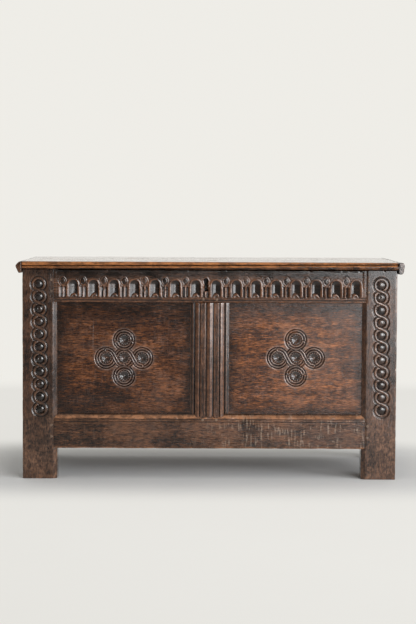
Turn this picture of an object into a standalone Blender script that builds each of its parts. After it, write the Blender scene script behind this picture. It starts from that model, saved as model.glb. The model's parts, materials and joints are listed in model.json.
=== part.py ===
"""Joined oak coffer: pegged frames with panels, a boarded lid on iron strap hinges, and a lock.

Metres, +Z up. The front faces -Y, and the origin is on the floor under the middle of the overall box.
"""

import math

import bmesh
import bpy
from mathutils import Matrix, Vector

OBJECT_NAME = "joined_oak_coffer"

# Clearances
FIT = 0.0003  # between pieces that touch
PLAY = 0.0015  # left at the bottom of a mortise or a groove
RUN_PAST = 0.004  # how far a cutter runs past the face that it opens
CLEAT_CLEARANCE = 0.001  # between a cleat and the side that it hangs beside
STAPLE_CLEARANCE = 0.002  # round the staple in the lock, for the arc that it swings through

# Carcase
CARCASE_WIDTH = 1.180
CARCASE_DEPTH = 0.505
CARCASE_HEIGHT = 0.664
FOOT_HEIGHT = 0.097
STILE_WIDTH = 0.109
BACK_STILE_WIDTH = 0.058
STILE_DEPTH = 0.055
STILE_CHAMFER_WIDTH = 0.013
STILE_CHAMFER_DEPTH = 0.010
STILE_ARRIS = 0.002  # worn flat on the outer edges

# Rails and muntins
TOP_RAIL_HEIGHT = 0.105
TOP_RAIL_NOSE = 0.008  # radius of the rounded lower edge
BOTTOM_RAIL_HEIGHT = 0.110
BOTTOM_CHAMFER_HEIGHT = 0.014
BOTTOM_CHAMFER_DEPTH = 0.010
BOTTOM_LINE_HIGH = 0.003  # scratched lines, below the slope
BOTTOM_LINE_LOW = 0.011
RAIL_THICKNESS = 0.033
RAIL_SETBACK = 0.001  # front rails and muntin behind the face of the stiles
SIDE_RAIL_THICKNESS = 0.028
SHADOW_GAP = 0.003  # front top rail below the stile tops
MUNTIN_WIDTH = 0.123
MUNTIN_THICKNESS = 0.030
SCRATCH_WIDTH = 0.0022
SCRATCH_DEPTH = 0.0018

# Muntin moulding, across as shares of its half width
MUNTIN_BEAD_SHARE = 0.18
MUNTIN_FLAT_SHARES = (0.27, 0.49)
MUNTIN_OVOLO_SHARES = (0.55, 0.77)
MUNTIN_FILLET_SHARES = (0.84, 0.94)
MUNTIN_BEAD_DEPTH = 0.0035
MUNTIN_QUIRK_DEPTH = 0.0055
MUNTIN_OVOLO_STEP = 0.0015
MUNTIN_OVOLO_DEPTH = 0.0090
MUNTIN_FILLET_DEPTH = 0.0085
MUNTIN_EDGE_DEPTH = 0.0120

# Joints and panels
TENON_THICKNESS = 0.010
TENON_LENGTH = 0.050
BACK_TENON_LENGTH = 0.028
SIDE_TENON_LENGTH = 0.034
MUNTIN_TENON_LENGTH = 0.032
TENON_SHOULDER = 0.015
PANEL_RECESS = 0.014
PANEL_THICKNESS = 0.012
PANEL_EDGE = 0.007
PANEL_BEVEL = 0.030
GROOVE_DEPTH = 0.010
PEG_RADIUS = 0.0045
PEG_TAPER = 0.0012
PEG_LENGTH = 0.028
PEG_PROUD = 0.0008
PEG_SETBACK = 0.0185
PEG_SPREAD = 0.018
MUNTIN_PEG_SPREAD = 0.0216

# Floor
FLOOR_BOARDS = 5
FLOOR_THICKNESS = 0.014
FLOOR_RISE = 0.030
FLOOR_GROOVE = 0.008

# Lid
LID_THICKNESS = 0.024
LID_OVERHANG = 0.018
LID_SHARES = (0.32, 0.35, 0.33)
LID_TONGUE = 0.008
LID_WORN = 0.003  # worn slope on the back edge
LID_TORUS_HEIGHT = 0.0115
LID_TORUS_ROUND = 0.0045
LID_QUIRK = 0.003
LID_THUMB_STEP = 0.0016
LID_THUMB = 0.0105
KEY_FRONT_MARGIN = 0.020  # from a board's edge to the key in its end
KEY_GROOVE_MARGIN = 0.012
KEY_TONGUE_MARGIN = 0.004
CLEAT_WIDTH = 0.019
CLEAT_DROP = 0.013
CLEAT_SHOULDER = 0.006
CLEAT_NOSE = 0.0145
CLEAT_TOE = 0.0085

# Carving
FLUTE_COUNT = 15
FLUTE_WIDTH = 0.027
FLUTE_DEPTH = 0.006
FLUTE_HEIGHT = 0.056
FRIEZE_FOOT = 0.0175
FRIEZE_MARGIN = 0.0142
PILLAR_LEAD = 0.225  # share of a flute's pitch before the first pillar
PILLAR_WIDTH = 0.019
PILLAR_REED = 0.007
PILLAR_HEIGHT = 0.034
PILLAR_DEPTH = 0.004
BOSS_COUNT = 11
BOSS_RADIUS = 0.0115
BOSS_MOAT = 0.0150
BOSS_DEPTH = 0.004
GUILLOCHE_SHIFT = 0.0035  # towards the panel from the middle of the face
GUILLOCHE_DROP = 0.0477  # first boss below the rim
GUILLOCHE_RISE = 0.0137  # last boss above the bottom rail
ROUNDEL_SPACING = 0.0565
ROUNDEL_RADIUS = 0.0265
ROUNDEL_DEPTH = 0.005

# Ironwork
HINGE_INSET = 0.190
HINGE_WIDTH = 0.036
KNUCKLE_RADIUS = 0.0055
PIN_RADIUS = 0.0025
PIN_HEAD = 0.0038
STRAP_THICKNESS = 0.0024
STRAP_ROUND = 0.0005
STRAP_NECK = 0.0086  # half widths
STRAP_FINIAL = 0.0138
STRAP_STEP = 0.002  # from a strap's root to its knuckles
PIN_HEAD_THICKNESS = 0.002
LID_STRAP_LENGTH = 0.300
BACK_STRAP_LENGTH = 0.090
KEYHOLE_X = -0.0125
KEYHOLE_RADIUS = 0.0065
KEYHOLE_SLOT = 0.009
KEYHOLE_HEIGHT = 0.038
KEYHOLE_DROP = 0.0265
LOCK_PLATE_WIDTH = 0.110
LOCK_PLATE_HEIGHT = 0.078
LOCK_PLATE_THICKNESS = 0.0025
LOCK_BOX_WIDTH = 0.084
LOCK_BOX_HEIGHT = 0.070
LOCK_BOX_DEPTH = 0.021
LOCK_SETDOWN = 0.001
BOLT_LENGTH = 0.033
BOLT_HEIGHT = 0.011
BOLT_THICKNESS = 0.0055
BOLT_DROP = 0.0115
EYE_WALL = 0.0035
EYE_CLEARANCE = 0.001
STAPLE_THICKNESS = 0.005
STAPLE_PLATE = 0.036

# Derived levels
RIM_Z = CARCASE_HEIGHT
BOTTOM_RAIL_TOP = FOOT_HEIGHT + BOTTOM_RAIL_HEIGHT
TOP_RAIL_FOOT = CARCASE_HEIGHT - TOP_RAIL_HEIGHT
FRONT_RAIL_TOP = RIM_Z - SHADOW_GAP
FLOOR_Z = FOOT_HEIGHT + FLOOR_RISE
LID_BOTTOM = RIM_Z + FIT
LID_TOP = LID_BOTTOM + LID_THICKNESS
FRIEZE_Z = TOP_RAIL_FOOT + FRIEZE_FOOT

# Derived places across and along
OUTER_X = CARCASE_WIDTH / 2
INNER_X = OUTER_X - STILE_WIDTH
BACK_INNER_X = OUTER_X - BACK_STILE_WIDTH
ARRIS_X = INNER_X + STILE_CHAMFER_WIDTH
OVERALL_DEPTH = LID_OVERHANG + CARCASE_DEPTH + FIT + STRAP_ROUND + 2 * KNUCKLE_RADIUS
LID_FRONT = -OVERALL_DEPTH / 2
FRONT_Y = LID_FRONT + LID_OVERHANG
BACK_Y = FRONT_Y + CARCASE_DEPTH
RAIL_FACE = FRONT_Y + RAIL_SETBACK
RAIL_BACK = RAIL_FACE + RAIL_THICKNESS
LID_HALF = OUTER_X + CLEAT_CLEARANCE
HINGE_Y = BACK_Y + FIT + STRAP_ROUND + KNUCKLE_RADIUS
HINGE_Z = RIM_Z - KNUCKLE_RADIUS - STRAP_ROUND
GROOVE_WIDTH = PANEL_EDGE + 2 * FIT
LOCK_FACE = RAIL_BACK + FIT
LOCK_TOP = FRONT_RAIL_TOP - LOCK_SETDOWN
STAPLE_Y = LOCK_FACE + LOCK_PLATE_THICKNESS + LOCK_BOX_DEPTH / 2
BOLT_Z = LOCK_TOP - BOLT_DROP
EYE_HEIGHT = BOLT_HEIGHT + 2 * EYE_CLEARANCE
EYE_WIDTH = BOLT_THICKNESS + 2 * EYE_CLEARANCE
SLOT_HALF = STAPLE_THICKNESS / 2 + STAPLE_CLEARANCE
KEYHOLE_TOP = FRONT_RAIL_TOP - KEYHOLE_DROP + FIT
KEY_SWEEP = LOCK_BOX_WIDTH / 3

QUARTER_TURN = (0, 0.5, 1.0, math.pi / 2)

AXES = {
    "X": Matrix(((0, 0, 1), (1, 0, 0), (0, 1, 0))).to_4x4(),
    "Y": Matrix(((1, 0, 0), (0, 0, -1), (0, 1, 0))).to_4x4(),
    "Z": Matrix.Identity(4),
}

parts = {}


def clear_scene():
    """Removes every object, so that the script can run again in the same file."""
    for obj in list(bpy.data.objects):
        bpy.data.objects.remove(obj)


def collection(name):
    """A collection of this name, linked to the scene."""
    group = bpy.data.collections.get(name) or bpy.data.collections.new(name)
    if name not in bpy.context.scene.collection.children:
        bpy.context.scene.collection.children.link(group)
    return group


def material(name, colour, roughness, metallic=0.0):
    """A Principled material of one colour."""
    made = bpy.data.materials.get(name) or bpy.data.materials.new(name)
    made.use_nodes = True
    shader = made.node_tree.nodes["Principled BSDF"]
    shader.inputs["Base Color"].default_value = (*colour, 1.0)
    shader.inputs["Roughness"].default_value = roughness
    shader.inputs["Metallic"].default_value = metallic
    return made


def add_object(name, mesh, place=(0, 0, 0), cutter=False):
    """An object for a mesh, among the parts or among the hidden cutters."""
    obj = bpy.data.objects.new(name, mesh)
    obj.location = place
    if cutter:
        obj.hide_render = True
        obj.display_type = "WIRE"
        collection("cutters").objects.link(obj)
    else:
        collection(OBJECT_NAME).objects.link(obj)
        parts[name] = obj
    return obj


def mesh_of(name, shape):
    """A mesh from a bmesh, with its faces turned outwards."""
    bmesh.ops.recalc_face_normals(shape, faces=shape.faces)
    mesh = bpy.data.meshes.new(name)
    shape.to_mesh(mesh)
    shape.free()
    return mesh


def block(name, low, high, cutter=False):
    """A box between two corners, with its origin in its middle."""
    low, high = Vector(low), Vector(high)
    shape = bmesh.new()
    bmesh.ops.create_cube(shape, size=1.0)
    bmesh.ops.scale(shape, vec=high - low, verts=shape.verts)
    return add_object(name, mesh_of(name, shape), (low + high) / 2, cutter)


def bar(name, outline, axis, start, end, cutter=False):
    """An outline carried along an axis: (y, z) along X, (x, z) along Y and (x, y) along Z."""
    shape = bmesh.new()
    corners = [now for now, last in zip(outline, outline[-1:] + outline) if math.dist(now, last) > 1e-6]
    face = shape.faces.new([shape.verts.new((across, up, (start - end) / 2)) for across, up in corners])
    far_side = bmesh.ops.extrude_face_region(shape, geom=[face])["geom"]
    moved = [item for item in far_side if isinstance(item, bmesh.types.BMVert)]
    bmesh.ops.translate(shape, vec=(0, 0, end - start), verts=moved)
    shape.transform(AXES[axis])
    middle = Vector((0, 0, 0))
    middle["XYZ".index(axis)] = (start + end) / 2
    return add_object(name, mesh_of(name, shape), middle, cutter)


def rod(name, point, direction, radius, tip_radius, length, sides=8, cutter=False):
    """A cone or cylinder that starts at a point and runs along a direction."""
    shape = bmesh.new()
    ends = {"radius1": radius, "radius2": tip_radius}
    bmesh.ops.create_cone(shape, cap_ends=True, segments=sides, depth=length, **ends)
    obj = add_object(name, mesh_of(name, shape), Vector(point) + Vector(direction) * length / 2, cutter)
    obj.rotation_euler = Vector(direction).to_track_quat("Z", "Y").to_euler()
    return obj


def turned(name, profile, steps, place, direction=(0, 0, 1), cutter=False):
    """A profile of (radius, height) points, from the top down, turned round a direction."""
    shape = bmesh.new()
    points = [shape.verts.new((radius, 0, height)) for radius, height in profile]
    for upper, lower in zip(points, points[1:]):
        shape.edges.new((upper, lower))
    mesh = bpy.data.meshes.new(name)
    shape.to_mesh(mesh)
    shape.free()
    obj = add_object(name, mesh, place, cutter)
    obj.rotation_euler = Vector(direction).to_track_quat("Z", "Y").to_euler()
    screw = obj.modifiers.new("Turn", "SCREW")
    screw.axis = "Z"
    screw.steps = steps
    screw.render_steps = steps
    screw.use_merge_vertices = True
    screw.merge_threshold = 1e-6
    return obj


def cut(obj, *cutters):
    """Takes each cutter's volume out of an object."""
    for cutter in cutters:
        change = obj.modifiers.new("Cut " + cutter.name, "BOOLEAN")
        change.operation = "DIFFERENCE"
        change.solver = "EXACT"
        change.object = cutter


def cut_all(obj, group):
    """Takes every cutter of a collection out of an object in one step."""
    change = obj.modifiers.new("Carve", "BOOLEAN")
    change.operation = "DIFFERENCE"
    change.solver = "EXACT"
    change.operand_type = "COLLECTION"
    change.collection = group


def join(obj, other):
    """Adds the volume of a hidden helper to an object."""
    change = obj.modifiers.new("Join " + other.name, "BOOLEAN")
    change.operation = "UNION"
    change.solver = "EXACT"
    change.object = other


def attach(obj, carrier):
    """Parents an object to an empty and keeps its place."""
    obj.parent = carrier
    obj.matrix_parent_inverse = Matrix.Translation(carrier.location).inverted()


def smooth(obj, angle=40):
    """Shades the round faces of an object smooth."""
    obj.data.shade_smooth()
    obj.data.set_sharp_from_angle(angle=math.radians(angle))


def arc(centre, radius, start, end, steps):
    """Points along an arc, by angles in degrees."""
    angles = [math.radians(start + (end - start) * step / steps) for step in range(steps + 1)]
    return [(centre[0] + radius * math.cos(a), centre[1] + radius * math.sin(a)) for a in angles]


def mirrored(outline, side):
    """An outline for the right side, turned over for the left."""
    return [(side * across, up) for across, up in outline]


def scratch(height):
    """A scratched V line on a front face, as (depth, height) points from below upwards."""
    half = SCRATCH_WIDTH / 2
    return [(0, height - half), (SCRATCH_DEPTH, height), (0, height + half)]


def stile_outline(side, front, gap=0.0):
    """Plan of a stile, grown by a gap on the sides that meet other pieces."""
    depth = STILE_DEPTH + gap
    if front:
        slope = gap * math.hypot(STILE_CHAMFER_WIDTH, STILE_CHAMFER_DEPTH) / STILE_CHAMFER_DEPTH
        plan = [
            (OUTER_X, FRONT_Y + STILE_ARRIS),
            (OUTER_X, FRONT_Y + depth),
            (INNER_X - gap, FRONT_Y + depth),
            (INNER_X - gap, FRONT_Y + STILE_CHAMFER_DEPTH * (1 - (slope - gap) / STILE_CHAMFER_WIDTH)),
            (ARRIS_X - slope, FRONT_Y),
            (OUTER_X - STILE_ARRIS, FRONT_Y),
        ]
    else:
        plan = [
            (OUTER_X, BACK_Y - STILE_ARRIS),
            (OUTER_X - STILE_ARRIS, BACK_Y),
            (BACK_INNER_X - gap, BACK_Y),
            (BACK_INNER_X - gap, BACK_Y - depth),
            (OUTER_X, BACK_Y - depth),
        ]
    return mirrored(plan, side)


def top_rail_outline():
    """Section of the front top rail as (y, z): a run moulding along the lower edge."""
    lower, nose = TOP_RAIL_FOOT, TOP_RAIL_NOSE
    edge = arc((nose, lower + nose), nose, 270, 180, 4)
    edge += scratch(lower + nose + SCRATCH_WIDTH) + scratch(FRIEZE_Z - SCRATCH_WIDTH)
    edge += [(0, FRONT_RAIL_TOP), (RAIL_THICKNESS, FRONT_RAIL_TOP), (RAIL_THICKNESS, lower)]
    return [(RAIL_FACE + depth, height) for depth, height in edge]


def bottom_rail_outline():
    """Section of the front bottom rail as (y, z): a sloped upper edge above two scratched lines."""
    arris = BOTTOM_RAIL_TOP - BOTTOM_CHAMFER_HEIGHT
    lines = scratch(arris - BOTTOM_LINE_LOW) + scratch(arris - BOTTOM_LINE_HIGH)
    edge = [(0, FOOT_HEIGHT), *lines, (0, arris)]
    edge += [(BOTTOM_CHAMFER_DEPTH, BOTTOM_RAIL_TOP), (RAIL_THICKNESS, BOTTOM_RAIL_TOP)]
    edge += [(RAIL_THICKNESS, FOOT_HEIGHT)]
    return [(RAIL_FACE + depth, height) for depth, height in edge]


def muntin_outline():
    """Plan of the front muntin as (x, y): a middle bead, then a flat, an ovolo and a fillet to each edge."""
    half = MUNTIN_WIDTH / 2
    flat, ovolo, fillet = MUNTIN_FLAT_SHARES, MUNTIN_OVOLO_SHARES, MUNTIN_FILLET_SHARES
    bead = [(MUNTIN_BEAD_SHARE * step / 3, MUNTIN_BEAD_DEPTH * (step / 3) ** 2) for step in range(4)]
    band = [((MUNTIN_BEAD_SHARE + flat[0]) / 2, MUNTIN_QUIRK_DEPTH), (flat[0], 0), (flat[1], 0)]
    band += [((flat[1] + ovolo[0]) / 2, MUNTIN_QUIRK_DEPTH)]
    sweep = ovolo[1] - ovolo[0]
    round_edge = [
        (ovolo[0] + sweep * math.sin(turn), MUNTIN_OVOLO_STEP + MUNTIN_OVOLO_DEPTH * (1 - math.cos(turn)))
        for turn in QUARTER_TURN
    ]
    quirk = [((ovolo[1] + fillet[0]) / 2, MUNTIN_EDGE_DEPTH)]
    outer = [(fillet[0], MUNTIN_FILLET_DEPTH), (fillet[1], MUNTIN_FILLET_DEPTH), (1, MUNTIN_EDGE_DEPTH)]
    run = [(half * share, depth) for share, depth in bead + band + round_edge + quirk + outer]
    run += [(half, MUNTIN_THICKNESS)]
    left = [(-across, depth) for across, depth in reversed(run[1:])]
    return [(across, RAIL_FACE + depth) for across, depth in left + run]


def mortise(name, low, high, along):
    """A mortise cutter: a tenon with a fit round it and play at its end."""
    grow = Vector((FIT, FIT, FIT))
    grow["XYZ".index(along)] = PLAY
    return block(name + "_mortise", Vector(low) - grow, Vector(high) + grow, cutter=True)


def peg(name, point, direction, *joined):
    """A tapered peg, proud of the face at its point, and its hole through the pieces that it pins."""
    inward = Vector(direction)
    rod(name, Vector(point) - inward * PEG_PROUD, inward, PEG_RADIUS, PEG_RADIUS - PEG_TAPER, PEG_LENGTH)
    start = Vector(point) - inward * RUN_PAST
    radius = PEG_RADIUS + FIT
    hole = rod(name + "_hole", start, inward, radius, radius, PEG_LENGTH + RUN_PAST, cutter=True)
    for piece in joined:
        cut(piece, hole)


def panel(name, low, high, back):
    """A panel, flat in front and bevelled behind to fit its grooves; back is the way behind."""
    low, high, back = Vector(low), Vector(high), Vector(back)
    shape = bmesh.new()
    bmesh.ops.create_cube(shape, size=1.0)
    bmesh.ops.scale(shape, vec=high - low, verts=shape.verts)
    behind = [face for face in shape.faces if face.normal.dot(back) > 0.9]
    bmesh.ops.inset_region(shape, faces=behind, thickness=GROOVE_DEPTH, use_even_offset=True)
    bmesh.ops.inset_region(shape, faces=behind, thickness=PANEL_BEVEL, use_even_offset=True)
    field = list(behind[0].verts)
    bmesh.ops.translate(shape, vec=back * (PANEL_THICKNESS - PANEL_EDGE), verts=field)
    return add_object(name, mesh_of(name, shape), (low + high) / 2)


def make_stiles():
    """Four stiles that run down into the feet."""
    for side, hand in ((-1, "left"), (1, "right")):
        bar(f"front_{hand}_stile", stile_outline(side, True), "Z", 0, RIM_Z)
        bar(f"back_{hand}_stile", stile_outline(side, False), "Z", 0, RIM_Z)


def make_long_frame(end, face, inward):
    """Rails, muntin and panels of the front or the back, with their joints; inward is +1 from the front."""
    front = end == "front"
    groove_low = face + inward * (PANEL_RECESS - FIT)
    groove_high = groove_low + inward * GROOVE_WIDTH
    tenon_y = sorted((face + inward * PANEL_RECESS, face + inward * (PANEL_RECESS + TENON_THICKNESS)))
    groove_y = sorted((groove_low, groove_high))
    inner = INNER_X if front else BACK_INNER_X
    rail_ends = inner - FIT
    if front:
        top = bar("front_top_rail", top_rail_outline(), "X", -ARRIS_X, ARRIS_X)
        bottom = bar("front_bottom_rail", bottom_rail_outline(), "X", -ARRIS_X, ARRIS_X)
        arris = BOTTOM_RAIL_TOP - BOTTOM_CHAMFER_HEIGHT
        muntin = bar("front_muntin", muntin_outline(), "Z", arris, TOP_RAIL_FOOT - FIT)
        for hand, side in (("left", -1), ("right", 1)):
            section = stile_outline(side, True, FIT)
            scribe = bar(f"{hand}_shoulder", section, "Z", -RUN_PAST, RIM_Z + RUN_PAST, cutter=True)
            cut(top, scribe)
            cut(bottom, scribe)
        slope = [(depth, height + FIT) for depth, height in bottom_rail_outline()[-5:]]
        foot = [(RAIL_FACE - RUN_PAST, slope[1][1]), *slope[1:3], (RAIL_BACK + RUN_PAST, slope[3][1])]
        foot += [(RAIL_BACK + RUN_PAST, FOOT_HEIGHT), (RAIL_FACE - RUN_PAST, FOOT_HEIGHT)]
        cut(muntin, bar("muntin_foot", foot, "X", -MUNTIN_WIDTH, MUNTIN_WIDTH, cutter=True))
    else:
        inside = face + inward * RAIL_THICKNESS
        rail_y = sorted((face, inside))
        top = block("back_top_rail", (-rail_ends, rail_y[0], TOP_RAIL_FOOT), (rail_ends, rail_y[1], RIM_Z))
        bottom = block(
            "back_bottom_rail", (-rail_ends, rail_y[0], FOOT_HEIGHT), (rail_ends, rail_y[1], BOTTOM_RAIL_TOP)
        )
        muntin_y = sorted((face, face + inward * MUNTIN_THICKNESS))
        half = MUNTIN_WIDTH / 2
        muntin = block(
            "back_muntin",
            (-half, muntin_y[0], BOTTOM_RAIL_TOP + FIT),
            (half, muntin_y[1], TOP_RAIL_FOOT - FIT),
        )
    stiles = {-1: parts[f"{end}_left_stile"], 1: parts[f"{end}_right_stile"]}

    reach = inner + (TENON_LENGTH if front else BACK_TENON_LENGTH)
    for rail, foot, head in ((top, TOP_RAIL_FOOT, RIM_Z), (bottom, FOOT_HEIGHT, BOTTOM_RAIL_TOP)):
        low = Vector((-reach, tenon_y[0], foot + TENON_SHOULDER))
        high = Vector((reach, tenon_y[1], head - TENON_SHOULDER))
        join(rail, block(rail.name + "_tenon", low, high, cutter=True))
        slots = mortise(rail.name, low, high, "X")
        cut(stiles[-1], slots)
        cut(stiles[1], slots)

    half = MUNTIN_WIDTH / 2 - GROOVE_DEPTH - RUN_PAST
    low = Vector((-half, tenon_y[0], BOTTOM_RAIL_TOP - MUNTIN_TENON_LENGTH))
    high = Vector((half, tenon_y[1], TOP_RAIL_FOOT + MUNTIN_TENON_LENGTH))
    join(muntin, block(muntin.name + "_tenon", low, high, cutter=True))
    slots = mortise(muntin.name, low, high, "Z")
    cut(top, slots)
    cut(bottom, slots)

    grooves = {
        -1: (-inner - GROOVE_DEPTH, -MUNTIN_WIDTH / 2 + GROOVE_DEPTH),
        1: (MUNTIN_WIDTH / 2 - GROOVE_DEPTH, inner + GROOVE_DEPTH),
    }
    for side, hand in ((-1, "left"), (1, "right")):
        left, right = grooves[side]
        low = Vector((left, groove_y[0], BOTTOM_RAIL_TOP - GROOVE_DEPTH))
        high = Vector((right, groove_y[1], TOP_RAIL_FOOT + GROOVE_DEPTH))
        slot = block(f"{end}_{hand}_groove", low, high, cutter=True)
        for piece in (top, bottom, muntin, stiles[side]):
            cut(piece, slot)
        play = Vector((PLAY, FIT, PLAY))
        panel(f"{end}_{hand}_panel", low + play, high - play, (0, inward, 0))
    return top, bottom, muntin, stiles


def make_front_pegs(top, bottom, muntin, stiles):
    """Two pegs at each end of each front rail, and two at each end of the muntin."""
    inward = (0, 1, 0)
    levels = {
        "top": (top, (TOP_RAIL_FOOT + RIM_Z) / 2),
        "bottom": (bottom, (FOOT_HEIGHT + BOTTOM_RAIL_TOP) / 2),
    }
    for side, hand in ((-1, "left"), (1, "right")):
        across = side * (INNER_X + PEG_SETBACK)
        for level, (rail, middle) in levels.items():
            for number, up in ((1, PEG_SPREAD), (2, -PEG_SPREAD)):
                point = (across, FRONT_Y, middle + up)
                peg(f"peg_front_{hand}_{level}_{number}", point, inward, stiles[side], rail)
    for number, across in ((1, -MUNTIN_PEG_SPREAD), (2, MUNTIN_PEG_SPREAD)):
        high = TOP_RAIL_FOOT + MUNTIN_TENON_LENGTH / 3
        low = BOTTOM_RAIL_TOP - BOTTOM_CHAMFER_HEIGHT - PEG_RADIUS - FIT
        peg(f"peg_muntin_top_{number}", (across, RAIL_FACE, high), inward, muntin, top)
        peg(f"peg_muntin_bottom_{number}", (across, RAIL_FACE, low), inward, muntin, bottom)


def make_side(side, hand):
    """Rails, panel and pegs of one side, tenoned into the front and back stiles."""
    near, far = FRONT_Y + STILE_DEPTH, BACK_Y - STILE_DEPTH
    inner = OUTER_X - SIDE_RAIL_THICKNESS
    arris = BOTTOM_RAIL_TOP - BOTTOM_CHAMFER_HEIGHT
    square = [(inner, TOP_RAIL_FOOT), (OUTER_X, TOP_RAIL_FOOT), (OUTER_X, RIM_Z), (inner, RIM_Z)]
    sloped = [(inner, FOOT_HEIGHT), (OUTER_X, FOOT_HEIGHT), (OUTER_X, arris)]
    sloped += [(OUTER_X - BOTTOM_CHAMFER_DEPTH, BOTTOM_RAIL_TOP), (inner, BOTTOM_RAIL_TOP)]
    top = bar(f"{hand}_side_top_rail", mirrored(square, side), "Y", near + FIT, far - FIT)
    bottom = bar(f"{hand}_side_bottom_rail", mirrored(sloped, side), "Y", near + FIT, far - FIT)
    tenon_x = sorted((side * (OUTER_X - PANEL_RECESS), side * (OUTER_X - PANEL_RECESS - TENON_THICKNESS)))
    groove = OUTER_X - PANEL_RECESS + FIT
    groove_x = sorted((side * groove, side * (groove - GROOVE_WIDTH)))
    stiles = (parts[f"front_{hand}_stile"], parts[f"back_{hand}_stile"])
    inward = (-side, 0, 0)

    levels = ((top, "top", TOP_RAIL_FOOT, RIM_Z), (bottom, "bottom", FOOT_HEIGHT, BOTTOM_RAIL_TOP))
    for rail, level, foot, head in levels:
        low = Vector((tenon_x[0], near - SIDE_TENON_LENGTH, foot + TENON_SHOULDER))
        high = Vector((tenon_x[1], far + SIDE_TENON_LENGTH, head - TENON_SHOULDER))
        join(rail, block(rail.name + "_tenon", low, high, cutter=True))
        slots = mortise(rail.name, low, high, "Y")
        for stile in stiles:
            cut(stile, slots)
        setback = SIDE_TENON_LENGTH / 2
        for end, stile, along in (("front", stiles[0], near - setback), ("back", stiles[1], far + setback)):
            point = (side * OUTER_X, along, (foot + head) / 2)
            peg(f"peg_{hand}_side_{level}_{end}", point, inward, stile, rail)

    low = Vector((groove_x[0], near - GROOVE_DEPTH, BOTTOM_RAIL_TOP - GROOVE_DEPTH))
    high = Vector((groove_x[1], far + GROOVE_DEPTH, TOP_RAIL_FOOT + GROOVE_DEPTH))
    slot = block(f"{hand}_side_groove", low, high, cutter=True)
    for piece in (top, bottom, *stiles):
        cut(piece, slot)
    play = Vector((FIT, PLAY, PLAY))
    panel(f"{hand}_side_panel", low + play, high - play, inward)


def make_floor():
    """Boards from front to back in grooves of the bottom rails, notched round the stiles."""
    half = OUTER_X - SIDE_RAIL_THICKNESS - FIT
    width = 2 * half / FLOOR_BOARDS
    low_y, high_y = RAIL_BACK - FLOOR_GROOVE, BACK_Y - RAIL_THICKNESS + FLOOR_GROOVE
    for end, inner in (("front", INNER_X), ("back", BACK_INNER_X)):
        slot = block(
            f"{end}_floor_groove",
            (-inner + FIT, low_y, FLOOR_Z - FIT),
            (inner - FIT, high_y, FLOOR_Z + FLOOR_THICKNESS + FIT),
            cutter=True,
        )
        cut(parts[f"{end}_bottom_rail"], slot)
    for number in range(FLOOR_BOARDS):
        start = -half + number * width
        low = (start + FIT / 2, low_y + PLAY, FLOOR_Z)
        high = (start + width - FIT / 2, high_y - PLAY, FLOOR_Z + FLOOR_THICKNESS)
        board = block(f"floor_board_{number + 1}", low, high)
        if number in (0, FLOOR_BOARDS - 1):
            side, hand = (-1, "left") if number == 0 else (1, "right")
            stiles = (
                ("front", INNER_X, low_y, FRONT_Y + STILE_DEPTH),
                ("back", BACK_INNER_X, BACK_Y - STILE_DEPTH, high_y),
            )
            for end, inner, near, far in stiles:
                reach = sorted((side * (inner - 2 * FIT), side * OUTER_X))
                notch = block(
                    f"{hand}_{end}_floor_notch",
                    (reach[0], near - FIT, FLOOR_Z - RUN_PAST),
                    (reach[1], far + FIT, FLOOR_Z + FLOOR_THICKNESS + RUN_PAST),
                    cutter=True,
                )
                cut(board, notch)


def lid_front_edge():
    """Moulded front edge of the lid as (y, z), from below upwards: a torus, a quirk and a thumb."""
    half = LID_TORUS_HEIGHT / 2
    turns = (-math.pi / 2, -0.9, -0.3, 0.3, 0.9)
    torus = [(LID_TORUS_ROUND * (1 - math.cos(turn)), half * (1 + math.sin(turn))) for turn in turns]
    spring = LID_TORUS_HEIGHT + SCRATCH_WIDTH
    reach, rise = LID_THUMB - LID_THUMB_STEP, LID_THICKNESS - spring
    thumb = [
        (LID_THUMB_STEP + reach * (1 - math.cos(turn)), spring + rise * math.sin(turn))
        for turn in QUARTER_TURN
    ]
    edge = torus + [(LID_QUIRK, LID_TORUS_HEIGHT)] + thumb
    return [(LID_FRONT + depth, LID_BOTTOM + height) for depth, height in edge]


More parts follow.
